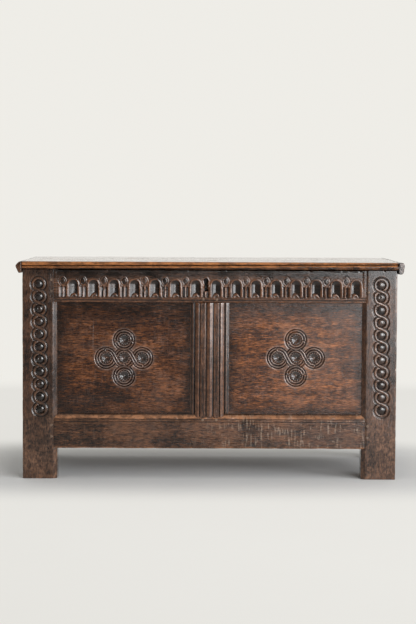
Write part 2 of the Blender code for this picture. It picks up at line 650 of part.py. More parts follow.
def make_lid(hinge):
    """Three tongued boards between moulded end cleats."""
    middle = LID_BOTTOM + LID_THICKNESS / 2
    grip = LID_TONGUE / 2
    seam_1 = LID_FRONT + (BACK_Y - LID_FRONT) * LID_SHARES[0]
    seam_2 = seam_1 + (BACK_Y - LID_FRONT) * LID_SHARES[1]
    room = grip + FIT

    def groove(seam, way):
        """A groove in an edge at a seam, cut the given way."""
        depth = LID_TONGUE + PLAY
        return [(seam, middle - room), (seam + way * depth, middle - room),
                (seam + way * depth, middle + room), (seam, middle + room)]

    def tongue(seam, way):
        """A tongue that stands out from an edge at a seam, the given way."""
        return [(seam, middle - grip), (seam + way * LID_TONGUE, middle - grip),
                (seam + way * LID_TONGUE, middle + grip), (seam, middle + grip)]

    def close(points, seam):
        """Lower edge, the joint's points and upper edge at a seam."""
        return [(seam, LID_BOTTOM), *points, (seam, LID_TOP)]

    front = list(reversed(lid_front_edge())) + close(groove(seam_1, -1), seam_1)
    near, far = seam_1 + FIT, seam_2 - FIT
    between = list(reversed(close(tongue(near, -1), near))) + close(tongue(far, 1), far)
    back = list(reversed(close(groove(seam_2, 1), seam_2)))
    back += [(BACK_Y, LID_BOTTOM), (BACK_Y, LID_TOP - LID_WORN), (BACK_Y - LID_WORN, LID_TOP)]
    boards = {
        "lid_front_board": (front, LID_FRONT + KEY_FRONT_MARGIN, seam_1 - KEY_GROOVE_MARGIN),
        "lid_middle_board": (between, seam_1 + KEY_TONGUE_MARGIN, seam_2 - KEY_TONGUE_MARGIN),
        "lid_back_board": (back, seam_2 + KEY_GROOVE_MARGIN, BACK_Y - KEY_GROOVE_MARGIN),
    }
    end = LID_HALF - FIT
    for name, (outline, low_y, high_y) in boards.items():
        board = bar(name, outline, "X", -end, end)
        grow = LID_TONGUE + FIT
        low, high = (-end - grow, low_y, middle - grip), (end + grow, high_y, middle + grip)
        join(board, block(name + "_ends", low, high, cutter=True))
        attach(board, hinge)

    foot = LID_BOTTOM - CLEAT_DROP
    reach = CLEAT_WIDTH - CLEAT_SHOULDER
    nose = [
        (CLEAT_SHOULDER + reach * math.sin(turn), LID_TOP - CLEAT_NOSE * (1 - math.cos(turn)))
        for turn in QUARTER_TURN
    ]
    section = [(0, LID_TOP), *nose, (CLEAT_TOE, foot), (0, foot)]
    outline = [(LID_HALF + across, up) for across, up in section]
    for side, hand in ((-1, "left"), (1, "right")):
        cleat = bar(f"lid_{hand}_cleat", mirrored(outline, side), "Y", LID_FRONT, BACK_Y)
        reach = sorted((side * (LID_HALF - RUN_PAST), side * (LID_HALF + LID_TONGUE + PLAY)))
        slot = block(
            f"{hand}_cleat_groove",
            (reach[0], LID_FRONT + KEY_FRONT_MARGIN - FIT, middle - room),
            (reach[1], BACK_Y - KEY_GROOVE_MARGIN + FIT, middle + room),
            cutter=True,
        )
        cut(cleat, slot)
        attach(cleat, hinge)


def strap_outline(root, length, lug, lug_end):
    """A tapered strap with a round end that runs down from its root; lugs reach up to the knuckles."""
    wide = HINGE_WIDTH / 2
    tip = root - length + STRAP_FINIAL
    outline = [(wide, root), (STRAP_NECK, tip + STRAP_FINIAL)]
    outline += arc((0, tip), STRAP_FINIAL, 30, -210, 10)
    outline += [(-STRAP_NECK, tip + STRAP_FINIAL), (-wide, root)]
    for left, right in lug:
        left, right = left + FIT, right - FIT
        outline += [(left, root), (left, lug_end), (right, lug_end), (right, root)]
    return outline


def make_hinge(side, hand, hinge):
    """A strap under the lid, a strap on the back and the pin through their knuckles."""
    middle = side * (OUTER_X - HINGE_INSET)
    third = HINGE_WIDTH / 6
    inner = third - FIT / 2
    outer = third + FIT / 2
    edge = HINGE_WIDTH / 2
    root = BACK_Y - STRAP_STEP
    plan = strap_outline(root, LID_STRAP_LENGTH, [(-inner, inner)], HINGE_Y)
    plan = [(middle + across, along) for across, along in plan]
    under = bar(f"{hand}_hinge_lid_strap", plan, "Z", RIM_Z - STRAP_THICKNESS, RIM_Z)
    sill = HINGE_Z - KNUCKLE_RADIUS - STRAP_STEP
    upright = strap_outline(sill, BACK_STRAP_LENGTH, [(-edge, -outer), (outer, edge)], HINGE_Z)
    upright = [(middle + across, up) for across, up in upright]
    behind = bar(f"{hand}_hinge_back_strap", upright, "Y", BACK_Y + FIT, BACK_Y + FIT + STRAP_THICKNESS)

    hole_radius = PIN_RADIUS + FIT
    hole = rod(f"{hand}_pin_hole", (middle - 2 * edge, HINGE_Y, HINGE_Z), (1, 0, 0), hole_radius, hole_radius,
               4 * edge, sides=20, cutter=True)
    knuckles = (
        (under, "middle", -inner, inner),
        (behind, "near", -edge, -outer),
        (behind, "far", outer, edge),
    )
    for strap, label, start, end in knuckles:
        point = (middle + start, HINGE_Y, HINGE_Z)
        barrel = rod(f"{hand}_{label}_knuckle", point, (1, 0, 0), KNUCKLE_RADIUS, KNUCKLE_RADIUS, end - start,
                     sides=20, cutter=True)
        join(strap, barrel)
    cut(under, hole)
    cut(behind, hole)
    attach(under, hinge)

    shoulder = edge + FIT
    cap = shoulder + PIN_HEAD_THICKNESS
    profile = [(0, cap), (PIN_HEAD, cap), (PIN_HEAD, shoulder), (PIN_RADIUS, shoulder)]
    profile += [(radius, -height) for radius, height in reversed(profile)]
    pin = turned(f"{hand}_hinge_pin", profile, 20, (middle, HINGE_Y, HINGE_Z), (1, 0, 0))
    smooth(pin)

    notch = block(
        f"{hand}_strap_notch",
        (middle - edge - CLEAT_CLEARANCE, BACK_Y - RAIL_THICKNESS - RUN_PAST, RIM_Z - STRAP_THICKNESS - FIT),
        (middle + edge + CLEAT_CLEARANCE, BACK_Y + RUN_PAST, RIM_Z + RUN_PAST),
        cutter=True,
    )
    cut(parts["back_top_rail"], notch)


def make_lock(hinge):
    """Lock case behind the keyhole, its sliding bolt, and the staple under the lid."""
    rail = parts["front_top_rail"]
    slot_low = KEYHOLE_TOP - KEYHOLE_HEIGHT
    half_slot = KEYHOLE_SLOT / 2
    ring = arc((KEYHOLE_X, KEYHOLE_TOP - KEYHOLE_RADIUS), KEYHOLE_RADIUS, -40, 220, 12)
    keyhole = [(KEYHOLE_X - half_slot, slot_low), (KEYHOLE_X + half_slot, slot_low), *ring]
    cut(rail, bar("keyhole", keyhole, "Y", RAIL_FACE - RUN_PAST, RAIL_BACK + RUN_PAST, cutter=True))

    wide, box = LOCK_PLATE_WIDTH / 2, LOCK_BOX_WIDTH / 2
    plate_back = LOCK_FACE + LOCK_PLATE_THICKNESS
    case_back = plate_back + LOCK_BOX_DEPTH
    case = block(
        "lock_case",
        (KEYHOLE_X - box, LOCK_FACE, LOCK_TOP - LOCK_BOX_HEIGHT),
        (KEYHOLE_X + box, case_back, LOCK_TOP),
    )
    plate = block(
        "lock_plate",
        (KEYHOLE_X - wide, LOCK_FACE, LOCK_TOP - LOCK_PLATE_HEIGHT),
        (KEYHOLE_X + wide, plate_back, LOCK_TOP),
        cutter=True,
    )
    join(case, plate)
    half_y = BOLT_THICKNESS / 2
    half_z = BOLT_HEIGHT / 2
    channel = block(
        "bolt_channel",
        (KEYHOLE_X - box - RUN_PAST, STAPLE_Y - half_y - FIT, BOLT_Z - half_z - FIT),
        (KEYHOLE_X + box + RUN_PAST, STAPLE_Y + half_y + FIT, BOLT_Z + half_z + FIT),
        cutter=True,
    )
    eye_half = EYE_WIDTH / 2 + EYE_WALL
    staple_foot = BOLT_Z - EYE_HEIGHT / 2 - EYE_WALL
    pocket = block(
        "staple_pocket",
        (KEYHOLE_X - SLOT_HALF, STAPLE_Y - eye_half - STAPLE_CLEARANCE, staple_foot - STAPLE_CLEARANCE),
        (KEYHOLE_X + SLOT_HALF, STAPLE_Y + eye_half + STAPLE_CLEARANCE, LOCK_TOP + RUN_PAST),
        cutter=True,
    )
    ward = block(
        "key_chamber",
        (KEYHOLE_X - KEY_SWEEP, LOCK_FACE - RUN_PAST, slot_low - RUN_PAST),
        (KEYHOLE_X + KEY_SWEEP / 2, STAPLE_Y + half_y, staple_foot - 2 * STAPLE_CLEARANCE),
        cutter=True,
    )
    sweep = block(
        "key_sweep",
        (KEYHOLE_X - KEY_SWEEP, STAPLE_Y - half_y, slot_low),
        (KEYHOLE_X - SLOT_HALF - STAPLE_CLEARANCE, STAPLE_Y + half_y, BOLT_Z),
        cutter=True,
    )
    cut(case, channel, pocket, ward, sweep)

    bolt_end = KEYHOLE_X - SLOT_HALF - FIT
    bolt = block(
        "lock_bolt",
        (bolt_end - BOLT_LENGTH, STAPLE_Y - half_y, BOLT_Z - half_z),
        (bolt_end, STAPLE_Y + half_y, BOLT_Z + half_z),
    )
    talon = block(
        "bolt_talon",
        (bolt_end - 0.6 * BOLT_LENGTH, STAPLE_Y - BOLT_THICKNESS, BOLT_Z - BOLT_HEIGHT),
        (bolt_end - 0.35 * BOLT_LENGTH, STAPLE_Y + BOLT_THICKNESS, BOLT_Z - 0.15 * BOLT_HEIGHT),
        cutter=True,
    )
    cut(bolt, talon)

    loop = [(STAPLE_Y - eye_half, RIM_Z - STRAP_THICKNESS / 2)]
    loop += [(STAPLE_Y - eye_half, staple_foot + EYE_WALL), (STAPLE_Y - eye_half + EYE_WALL, staple_foot)]
    loop += [(2 * STAPLE_Y - across, up) for across, up in reversed(loop)]
    thick = STAPLE_THICKNESS / 2
    staple = bar("lid_staple", loop, "X", KEYHOLE_X - thick, KEYHOLE_X + thick)
    eye = block(
        "staple_eye",
        (KEYHOLE_X - 2 * thick, STAPLE_Y - EYE_WIDTH / 2, BOLT_Z - EYE_HEIGHT / 2),
        (KEYHOLE_X + 2 * thick, STAPLE_Y + EYE_WIDTH / 2, BOLT_Z + EYE_HEIGHT / 2),
        cutter=True,
    )
    cut(staple, eye)
    cap = block(
        "staple_cap",
        (KEYHOLE_X - STAPLE_PLATE / 2, STAPLE_Y - eye_half - FIT, RIM_Z - STRAP_THICKNESS),
        (KEYHOLE_X + STAPLE_PLATE / 2, STAPLE_Y + eye_half + FIT, RIM_Z),
        cutter=True,
    )
    join(staple, cap)
    attach(staple, hinge)


def carve_frieze():
    """Arched flutes along the front top rail, with a reeded pillar to the left of each."""
    rail = parts["front_top_rail"]
    group = collection("frieze_cutters")
    length = 2 * (ARRIS_X - FRIEZE_MARGIN)
    pitch = length / FLUTE_COUNT
    radius = (FLUTE_WIDTH ** 2 / 4 + FLUTE_DEPTH ** 2) / (2 * FLUTE_DEPTH)
    spring = FLUTE_HEIGHT - FLUTE_WIDTH / 2
    profile = [(across, up + spring) for across, up in arc((0, 0), radius, 90, 0, 5)]
    profile[0] = (0.0, profile[0][1])
    profile += [(radius, 0.0), (0.0, 0.0)]
    for number in range(FLUTE_COUNT):
        pillar = -length / 2 + (number + PILLAR_LEAD) * pitch
        place = (pillar + pitch / 2, RAIL_FACE + FLUTE_DEPTH - radius, FRIEZE_Z)
        group.objects.link(turned(f"flute_{number + 1}", profile, 24, place, cutter=True))
        if abs(pillar - KEYHOLE_X) < pitch / 2:
            continue
        for hand, side in (("left", -1), ("right", 1)):
            edges = sorted((pillar + side * PILLAR_REED / 2, pillar + side * PILLAR_WIDTH / 2))
            slot = block(
                f"pillar_{number + 1}_{hand}",
                (edges[0], RAIL_FACE - RUN_PAST, FRIEZE_Z),
                (edges[1], RAIL_FACE + PILLAR_DEPTH, FRIEZE_Z + PILLAR_HEIGHT),
                cutter=True,
            )
            group.objects.link(slot)
    cut_all(rail, group)


def carve_guilloche(side, hand):
    """A row of domed bosses, each in a round moat, down the face of a front stile."""
    group = collection(f"{hand}_guilloche_cutters")
    top = RIM_Z - GUILLOCHE_DROP
    bottom = BOTTOM_RAIL_TOP + GUILLOCHE_RISE
    across = side * ((ARRIS_X + OUTER_X) / 2 - GUILLOCHE_SHIFT)
    turns = QUARTER_TURN[:0:-1]
    dome = [(BOSS_RADIUS * math.sin(turn), BOSS_DEPTH * (math.cos(turn) - 1)) for turn in turns]
    profile = [(0, RUN_PAST), (BOSS_MOAT, RUN_PAST), (BOSS_MOAT, -BOSS_DEPTH), *dome, (0, -FIT)]
    for number in range(BOSS_COUNT):
        level = top + (bottom - top) * number / (BOSS_COUNT - 1)
        place = (across, FRONT_Y, level)
        group.objects.link(turned(f"{hand}_boss_{number + 1}", profile, 14, place, (0, -1, 0), cutter=True))
    cut_all(parts[f"front_{hand}_stile"], group)


def carve_roundels(side, hand):
    """A cross of five dished roundels with a button in the middle of each, on a front panel."""
    group = collection(f"{hand}_roundel_cutters")
    left, right = MUNTIN_WIDTH / 2, INNER_X
    height = (BOTTOM_RAIL_TOP + TOP_RAIL_FOOT) / 2
    middle = Vector((side * (left + right) / 2, FRONT_Y + PANEL_RECESS, height))
    rim, dish = ROUNDEL_RADIUS, ROUNDEL_DEPTH
    # From the edge inwards: the rim's groove and bead, the hollow and the button
    profile = [(0, RUN_PAST), (rim, RUN_PAST), (rim, 0), (0.93 * rim, -0.5 * dish), (0.84 * rim, -0.1 * dish)]
    profile += [(0.74 * rim, -0.6 * dish), (0.32 * rim, -dish), (0.15 * rim, -0.35 * dish), (0, -0.3 * dish)]
    for number, (across, up) in enumerate(((0, 0), (0, 1), (1, 0), (0, -1), (-1, 0))):
        place = middle + Vector((across * ROUNDEL_SPACING, 0, up * ROUNDEL_SPACING))
        cutter = turned(f"{hand}_roundel_{number + 1}", profile, 14, place, (0, -1, 0), cutter=True)
        group.objects.link(cutter)
    cut_all(parts[f"front_{hand}_panel"], group)


def set_materials():
    """A material of its own for each part, coloured by the kind of piece."""
    kinds = (
        ("panel", (0.115, 0.058, 0.034), 0.45, 0.0),
        ("floor", (0.125, 0.080, 0.050), 0.75, 0.0),
        ("lid_staple", (0.040, 0.037, 0.035), 0.55, 0.9),
        ("lid_strap", (0.040, 0.037, 0.035), 0.55, 0.9),
        ("back_strap", (0.040, 0.037, 0.035), 0.55, 0.9),
        ("pin", (0.050, 0.046, 0.043), 0.50, 0.9),
        ("lock", (0.040, 0.037, 0.035), 0.55, 0.9),
        ("lid", (0.150, 0.080, 0.044), 0.40, 0.0),
        ("peg", (0.210, 0.130, 0.085), 0.60, 0.0),
        ("", (0.075, 0.044, 0.029), 0.48, 0.0),
    )
    for name, obj in parts.items():
        colour, roughness, metallic = next(kind[1:] for kind in kinds if kind[0] in name)
        obj.data.materials.append(material(name, colour, roughness, metallic))


def main():
    """Builds the coffer closed and unlocked."""
    clear_scene()
    hinge = bpy.data.objects.new("lid_hinge_axis", None)
    hinge.location = (0, HINGE_Y, HINGE_Z)
    collection(OBJECT_NAME).objects.link(hinge)
    make_stiles()
    front = make_long_frame("front", FRONT_Y, 1)
    make_front_pegs(*front)
    make_long_frame("back", BACK_Y, -1)
    make_side(-1, "left")
    make_side(1, "right")
    make_floor()
    make_lid(hinge)
    make_hinge(-1, "left", hinge)
    make_hinge(1, "right", hinge)
    make_lock(hinge)
    carve_frieze()
    for side, hand in ((-1, "left"), (1, "right")):
        carve_guilloche(side, hand)
        carve_roundels(side, hand)
    set_materials()


main()
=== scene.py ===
"""Looks of a joined oak coffer: carved, worn and waxed boards, forged iron and a pale studio.

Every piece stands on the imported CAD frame, with +Z up and the front facing -Y. Its shape is worked out in
millimetres, and set into the frame in metres.
"""

import json
import math

import bpy
import numpy as np
from mathutils import Matrix, Vector

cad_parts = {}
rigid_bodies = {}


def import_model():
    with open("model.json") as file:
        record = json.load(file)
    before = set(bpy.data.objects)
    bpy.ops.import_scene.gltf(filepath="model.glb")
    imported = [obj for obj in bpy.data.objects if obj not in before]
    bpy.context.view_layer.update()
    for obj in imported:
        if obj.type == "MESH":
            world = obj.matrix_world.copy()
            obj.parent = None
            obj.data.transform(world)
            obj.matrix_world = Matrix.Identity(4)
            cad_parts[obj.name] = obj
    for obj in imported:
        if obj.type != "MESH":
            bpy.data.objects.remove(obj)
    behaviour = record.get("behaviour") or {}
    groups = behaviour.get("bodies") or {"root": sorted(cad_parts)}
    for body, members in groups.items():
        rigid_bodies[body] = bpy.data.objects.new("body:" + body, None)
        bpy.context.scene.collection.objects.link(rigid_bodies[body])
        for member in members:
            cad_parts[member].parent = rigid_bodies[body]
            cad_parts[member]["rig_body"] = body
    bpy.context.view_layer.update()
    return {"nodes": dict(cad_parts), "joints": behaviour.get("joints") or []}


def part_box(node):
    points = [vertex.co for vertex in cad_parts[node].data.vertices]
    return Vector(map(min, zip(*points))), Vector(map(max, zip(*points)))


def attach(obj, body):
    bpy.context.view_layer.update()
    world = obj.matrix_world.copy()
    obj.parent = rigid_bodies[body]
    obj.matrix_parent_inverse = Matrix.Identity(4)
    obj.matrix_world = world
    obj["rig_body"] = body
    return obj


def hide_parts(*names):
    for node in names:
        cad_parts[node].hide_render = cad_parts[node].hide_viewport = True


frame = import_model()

MM = 0.001

# Places read from the frame


def extent(node, axis):
    """Lowest and highest coordinate of a CAD node along an axis."""
    return tuple(corner["XYZ".index(axis)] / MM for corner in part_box(node))


def low(node, axis):
    """Lowest coordinate of a CAD node along an axis."""
    return extent(node, axis)[0]


def high(node, axis):
    """Highest coordinate of a CAD node along an axis."""
    return extent(node, axis)[1]


def length(node, axis):
    """Length of a CAD node along an axis."""
    return high(node, axis) - low(node, axis)


INNER_X, OUTER_X = extent("front_right_stile", "X")
FRONT_Y = low("front_right_stile", "Y")
STILE_DEPTH = length("front_right_stile", "Y")
BACK_INNER_X = low("back_right_stile", "X")
BACK_Y = high("back_right_stile", "Y")
RIM_Z = high("front_right_stile", "Z")
RAIL_FACE = low("front_top_rail", "Y")
RAIL_DEPTH = length("front_top_rail", "Y")
RAIL_FOOT, RAIL_TOP = extent("front_top_rail", "Z")
SILL_FOOT, SILL_TOP = extent("front_bottom_rail", "Z")
SIDE_RAIL_DEPTH = OUTER_X - low("right_side_top_rail", "X")
MUNTIN_HALF = high("front_muntin", "X")
MUNTIN_DEPTH = length("front_muntin", "Y")
LID_TOP = high("lid_middle_board", "Z")
LID_THICKNESS = length("lid_middle_board", "Z")
LID_HALF = low("lid_right_cleat", "X")
FLOOR_FOOT, FLOOR_TOP = extent("floor_board_3", "Z")
HINGE = next(joint["pos_m"] for joint in frame["joints"] if joint["name"] == "lid_hinge")
HINGE_Y, HINGE_Z = HINGE[1] / MM, HINGE[2] / MM

# Joinery sizes, the same as the solids
FIT = 0.3
CHAMFER_WIDTH, CHAMFER_DEPTH = 13, 10
SLOPE_HEIGHT, SLOPE_DEPTH = 14, 10
PANEL_EDGE, PANEL_BEVEL, PANEL_RISE = 7, 30, 5
GROOVE_DEPTH = 10
FLOOR_GROOVE = 8
KNUCKLE_RADIUS, PIN_RADIUS = 5.5, 2.5
STRAP_THICKNESS = 2.4
ARRIS_X = INNER_X + CHAMFER_WIDTH
SILL_ARRIS = SILL_TOP - SLOPE_HEIGHT

# Carving layout
FINE = 1.04
FRIEZE_STEP = 1.28
ROUNDEL_STEP = 0.95
GUILLOCHE_X, GUILLOCHE_LEAN = 538.5, 5
GUILLOCHE_TOP, GUILLOCHE_FOOT = RIM_Z - 47.7, SILL_TOP + 13.7
BOSSES = 11
BOSS_PITCH = (GUILLOCHE_TOP - GUILLOCHE_FOOT) / (BOSSES - 1)
BOSS_MOAT = 14.6
FLUTES = 15
FLUTE_PITCH, FIRST_FLUTE, FLUTE_DRIFT = 63.97, -433.3, 4.2
FRIEZE_Z = RAIL_FOOT + 17.5
FLUTE_HALF, FLUTE_SPRING = 15.0, 39.5
LUNETTE = 9.6
PILLAR = ((-9.2, 0.0), (-8.7, 5.6), (-6.0, 6.0), (-3.5, 6.4), (-3.0, 0.5), (-1.8, 0.2), (2.8, 2.6),
          (3.8, 5.9), (8.4, 5.4), (9.2, 0.0))
PILLAR_HALF, PILLAR_TALL = PILLAR[-1][0], 33.5
QUIRKS = (11.6, 31.0, 47.6)
SILL_LINES = (3.0, 11.4)
KEYHOLE_X, KEYHOLE_TOP = -12.5, RAIL_TOP - 26.2
KEYHOLE_HEIGHT, KEYHOLE_BOW = 39, 6.6
SCRATCH_X, SCRATCH_SPAN = -377, (405, 508)
CRACK_Z, CRACK_SPAN = 384.5, (345, 475)
NICK_X = 549
ROUNDEL_PITCH, RING_RADIUS, BOWL_RADIUS = 57, 25.3, 14.0
ROUNDELS_REACH = 1.5 * ROUNDEL_PITCH + 14
ROUNDEL_CENTRES = {"left": (-270.5, 382.5), "right": (272.5, 385.0)}
GRAIN_SHIFT = 7000


# Fields: arrays in, arrays out


def smooth(value, start, end):
    """Rises from 0 at the start to 1 at the end along a cubic with level ends."""
    share = np.clip((value - start) / (end - start), 0, 1)
    return share * share * (3 - 2 * share)


def within(value, start, end, rise, fall):
    """1 between a start and an end, rising and falling along cubics over widths inside them."""
    return smooth(value, start, start + rise) * (1 - smooth(value, end - fall, end))


def bump(value, centre, width):
    """A bell of height 1 at the centre, by the exponential of the squared distance over the width."""
    return np.exp(-(((value - centre) / width) ** 2))


def chance(i, j, seed):
    """A fixed random value from 0 to 1 for each pair of whole numbers: the fraction of a large sine."""
    return np.modf(np.abs(np.sin(i * 127.1 + j * 311.7 + seed * 74.7) * 43758.5453))[0]


def noise(u, v, seed):
    """Smooth noise from 0 to 1: random values on whole-number points, blended by cubics between them."""
    i, j = np.floor(u), np.floor(v)
    s, t = smooth(u - i, 0, 1), smooth(v - j, 0, 1)
    near = chance(i, j, seed) * (1 - s) + chance(i + 1, j, seed) * s
    far = chance(i, j + 1, seed) * (1 - s) + chance(i + 1, j + 1, seed) * s
    return near * (1 - t) + far * t


def soften(field, passes):
    """Averages each value with its four neighbours, several times over."""
    for _ in range(passes):
        wide = np.pad(field, 1, mode="edge")
        around = wide[:-2, 1:-1] + wide[2:, 1:-1] + wide[1:-1, :-2] + wide[1:-1, 2:]
        field = field / 2 + around / 8
    return field


def groove(distance, width, depth):
    """A V cut: full depth on the line, falling evenly to nothing at half the width."""
    return depth * np.clip(1 - np.abs(distance) / (width / 2), 0, 1)


def nearest(across, up, path):
    """Distance to the nearest point of a path."""
    return np.sqrt(((across[..., None] - path[:, 0]) ** 2 + (up[..., None] - path[:, 1]) ** 2).min(axis=-1))


# Surfaces: each shell is a closed grid of rings


def sample_outline(corners):
    """Samples a closed section of (across, depth) corners.

    Each corner is a parabola between points one rounding away on its two edges, and each edge is divided
    evenly, or at the given places. A corner is (across, depth, rounding, spacing of the edge after it), and
    a tag of that edge may follow. Returns the points, the tags, the outward normals, and each rounded
    corner's own sample.
    """
    ends = np.array([corner[:2] for corner in corners], dtype=float)
    before = np.roll(ends, 1, axis=0) - ends
    after = np.roll(ends, -1, axis=0) - ends
    before /= np.linalg.norm(before, axis=1)[:, None]
    lengths = np.linalg.norm(after, axis=1)
    after /= lengths[:, None]
    points, tags, arrises = [], [], []
    for index, (_, _, rounding, spacing, *tag) in enumerate(corners):
        here = ends[index]
        turn = np.linspace(0, 1, 5)[:, None] if rounding else np.zeros((1, 1))
        near, far = here + before[index] * rounding, here + after[index] * rounding
        if rounding:
            arrises.append(len(tags) + 2)
        points.append((1 - turn) ** 2 * near + 2 * turn * (1 - turn) * here + turn ** 2 * far)
        room = lengths[index] - rounding - corners[(index + 1) % len(corners)][2]
        if np.ndim(spacing):
            share = (np.asarray(spacing) - far[0]) / (after[index][0] * room)
            share = np.sort(share[(share > 0.002) & (share < 0.998)])[:, None]
        else:
            share = np.linspace(0, 1, max(2, math.ceil(room / spacing) + 1))[1:-1, None]
        points.append(far + after[index] * room * share)
        tags += [""] * len(turn) + (tag or [""]) * len(share)
    points = np.concatenate(points)
    travel = np.roll(points, -1, axis=0) - np.roll(points, 1, axis=0)
    normals = np.stack([travel[:, 1], -travel[:, 0]], axis=1)
    return points, np.array(tags), normals / np.linalg.norm(normals, axis=1)[:, None], arrises


def mirrored(corners):
    """The same section turned over across, with its edges kept between the same corners."""
    flipped = [(-corner[0], *corner[1:3], *corners[index - 1][3:]) for index, corner in enumerate(corners)]
    return flipped[::-1]


def ring_faces(rings, around, outward):
    """Quads between neighbouring rings that close on themselves, turned over unless they face outward."""
    index = np.arange(rings * around).reshape(rings, around)
    beside = np.roll(index, -1, axis=1)
    quads = np.stack([index[:-1], beside[:-1], beside[1:], index[1:]], axis=-1).reshape(-1, 4)
    caps = [index[0][::-1], index[-1]]
    return (quads, caps) if outward else (quads[:, ::-1], [cap[::-1] for cap in caps])


def shell(points, faces, grain, hollow=0.0, worn=0.0):
    """A surface's points, quads, caps and place in the grain, with masks of dirt and painted shade and of
    wear.
    """
    points = points.reshape(-1, 3)
    none = np.zeros(len(points))
    return {
        "points": points, "quads": faces[0], "caps": faces[1], "grain": grain.reshape(-1, 3),
        "hollow": none + np.ravel(hollow), "worn": none + np.ravel(worn),
    }


def board(lie, span, step, corners, face=None, rear=None, warp=None, grime=None, rubbed=None, exposed=None,
          seed=1, wear=1.2, wave=0.25, end_round=1.0, bared=0.55):
    """A section carried along a board's length, drawn in over a quarter round at each end.

    lie is (axis along, axis across, axis of depth with its sign, plane of the show face). The samples tagged
    face and rear take their depth from the functions of (along, across) given for them. Arrises are rubbed
    back by noise along the length, by the share that exposed gives, the faces sink by slow noise, and warp
    moves (along, across, depth) last. grime and rubbed add to the masks of dirt and painted shade and of
    wear, and bared is the share of wear on the high parts of the carving.
    """
    points, tags, normals, arrises = sample_outline(corners)
    turn = np.radians([0, 30, 60])
    lead, tuck = end_round * (1 - np.cos(turn)), end_round * (1 - np.sin(turn))
    inner = step
    if not np.ndim(step):
        count = max(2, math.ceil((span[1] - span[0]) / step) + 1)
        inner = np.linspace(span[0] + end_round, span[1] - end_round, count)
    along = np.concatenate([span[0] + lead, inner, span[1] - lead[::-1]])[:, None]
    draw = np.concatenate([tuck, np.zeros(len(inner)), tuck[::-1]])[:, None]
    shape = (len(along), len(points))
    across, depth = (np.broadcast_to(values, shape).copy() for values in points.T)
    hollow, worn = np.zeros(shape), np.zeros(shape)
    grain = np.stack([np.broadcast_to(along, shape), across, depth], axis=-1)
    grain = grain + chance(np.arange(3), seed, 5) * GRAIN_SHIFT

    if rear is not None:
        hidden = tags == "rear"
        depth[:, hidden] = rear(along, points[hidden, 0][None, :])
    if face is not None:
        shown = tags == "face"
        level = face(along, points[shown, 0][None, :])
        around = soften(level, 40)
        depth[:, shown] = level
        # The hollow mask: dark wax below the softened surface, and painted shade that grows with the
        # carving's depth.
        hollow[:, shown] = np.clip(level - around + 0.7 * smooth(level, 1.5, 6), 0, 1)
        worn[:, shown] = np.clip((around - level) / 1.3, 0, 1) * bared
    if grime is not None:
        hollow = np.maximum(hollow, grime(along, across, depth))
    if rubbed is not None:
        worn = np.maximum(worn, rubbed(along, across, depth))

    stretch = np.concatenate([[0], np.cumsum(np.linalg.norm(np.diff(points, axis=0), axis=1))])
    girth = stretch[-1] + np.linalg.norm(points[0] - points[-1])
    sink = wave * noise(along / 90, stretch[None, :] / 22, seed) + draw
    for number, middle in enumerate(arrises):
        gap = np.abs(stretch - stretch[middle])
        gap = np.minimum(gap, girth - gap)
        rub = noise(along / 45, number, seed) ** 2 + 1.3 * noise(along / 11, number, seed + 3) ** 5
        if exposed is not None:
            rub = rub * exposed(along, *points[middle])
        lost = wear * rub * bump(gap, 0, 2.6)
        across -= lost * normals[middle, 0]
        depth -= lost * normals[middle, 1]
        worn = np.maximum(worn, bump(gap, 0, 3.5) * np.minimum(1.6 * rub + 0.1, 1))
    across -= normals[:, 0] * sink
    depth -= normals[:, 1] * sink
    along = np.broadcast_to(along, shape)
    if warp is not None:
        along, across, depth = warp(along, across, depth)

    axes = ["XYZ".index(letter) for letter in (lie[0], lie[1], lie[2][1])]
    sign = 1 if lie[2][0] == "+" else -1
    place = np.empty((*shape, 3))
    place[..., axes] = np.stack([along, across, lie[3] + sign * depth], axis=-1)
    faces = ring_faces(*shape, sign * np.linalg.det(np.eye(3)[axes]) > 0)
    return shell(place, faces, grain, hollow, np.clip(worn, 0, 1))


def box_section(across, thickness, rounding, spacing=7):
    """Corners of a plain section from one across to the other: show face, edge, rear and edge."""
    return [
        (across[0], 0, rounding, spacing, "face"), (across[1], 0, rounding, 7),
        (across[1], thickness, rounding, 7), (across[0], thickness, rounding, 7),
    ]


def turned(centre, direction, profile, facets, seed, jitter, worn=0.0):
    """A profile of (radius, height) points carried round a direction; the radius wanders with the angle."""
    axis = Vector(direction).normalized()
    side = axis.orthogonal().normalized()
    basis = np.array([side, axis.cross(side), axis])
    angle = np.arange(facets) * 2 * math.pi / facets
    radius, height = np.array(profile).T[:, :, None]
    radius = radius * (1 + jitter * (chance(np.arange(facets), seed, 9) - 0.5))
    local = np.stack([radius * np.cos(angle), radius * np.sin(angle), height + 0 * angle], axis=-1)
    grain = local[..., [2, 0, 1]] + chance(np.arange(3), seed, 5) * GRAIN_SHIFT
    return shell(np.array(centre) + local @ basis, ring_faces(len(profile), facets, True), grain, worn=worn)


def knuckle(x, half):
    """A tube round the hinge pin: a bevelled rectangle between two radii and two ends, carried round."""
    edge, facets = 0.5, 28
    outer, inner = KNUCKLE_RADIUS, PIN_RADIUS + FIT
    radius, along = np.array([
        (outer - edge, -half), (outer, edge - half), (outer, half - edge), (outer - edge, half),
        (inner, half), (inner, -half),
    ]).T
    angle = (np.arange(facets) * 2 * math.pi / facets)[:, None]
    local = np.stack([along + 0 * angle, radius * np.cos(angle), radius * np.sin(angle)], axis=-1)
    points = np.array((x, HINGE_Y, HINGE_Z)) + local
    index = np.arange(facets * len(radius)).reshape(facets, -1)
    ahead, beside = np.roll(index, -1, axis=0), np.roll(index, -1, axis=1)
    quads = np.stack([ahead, np.roll(beside, -1, axis=0), beside, index], axis=-1).reshape(-1, 4)
    return shell(points, (quads, []), points)


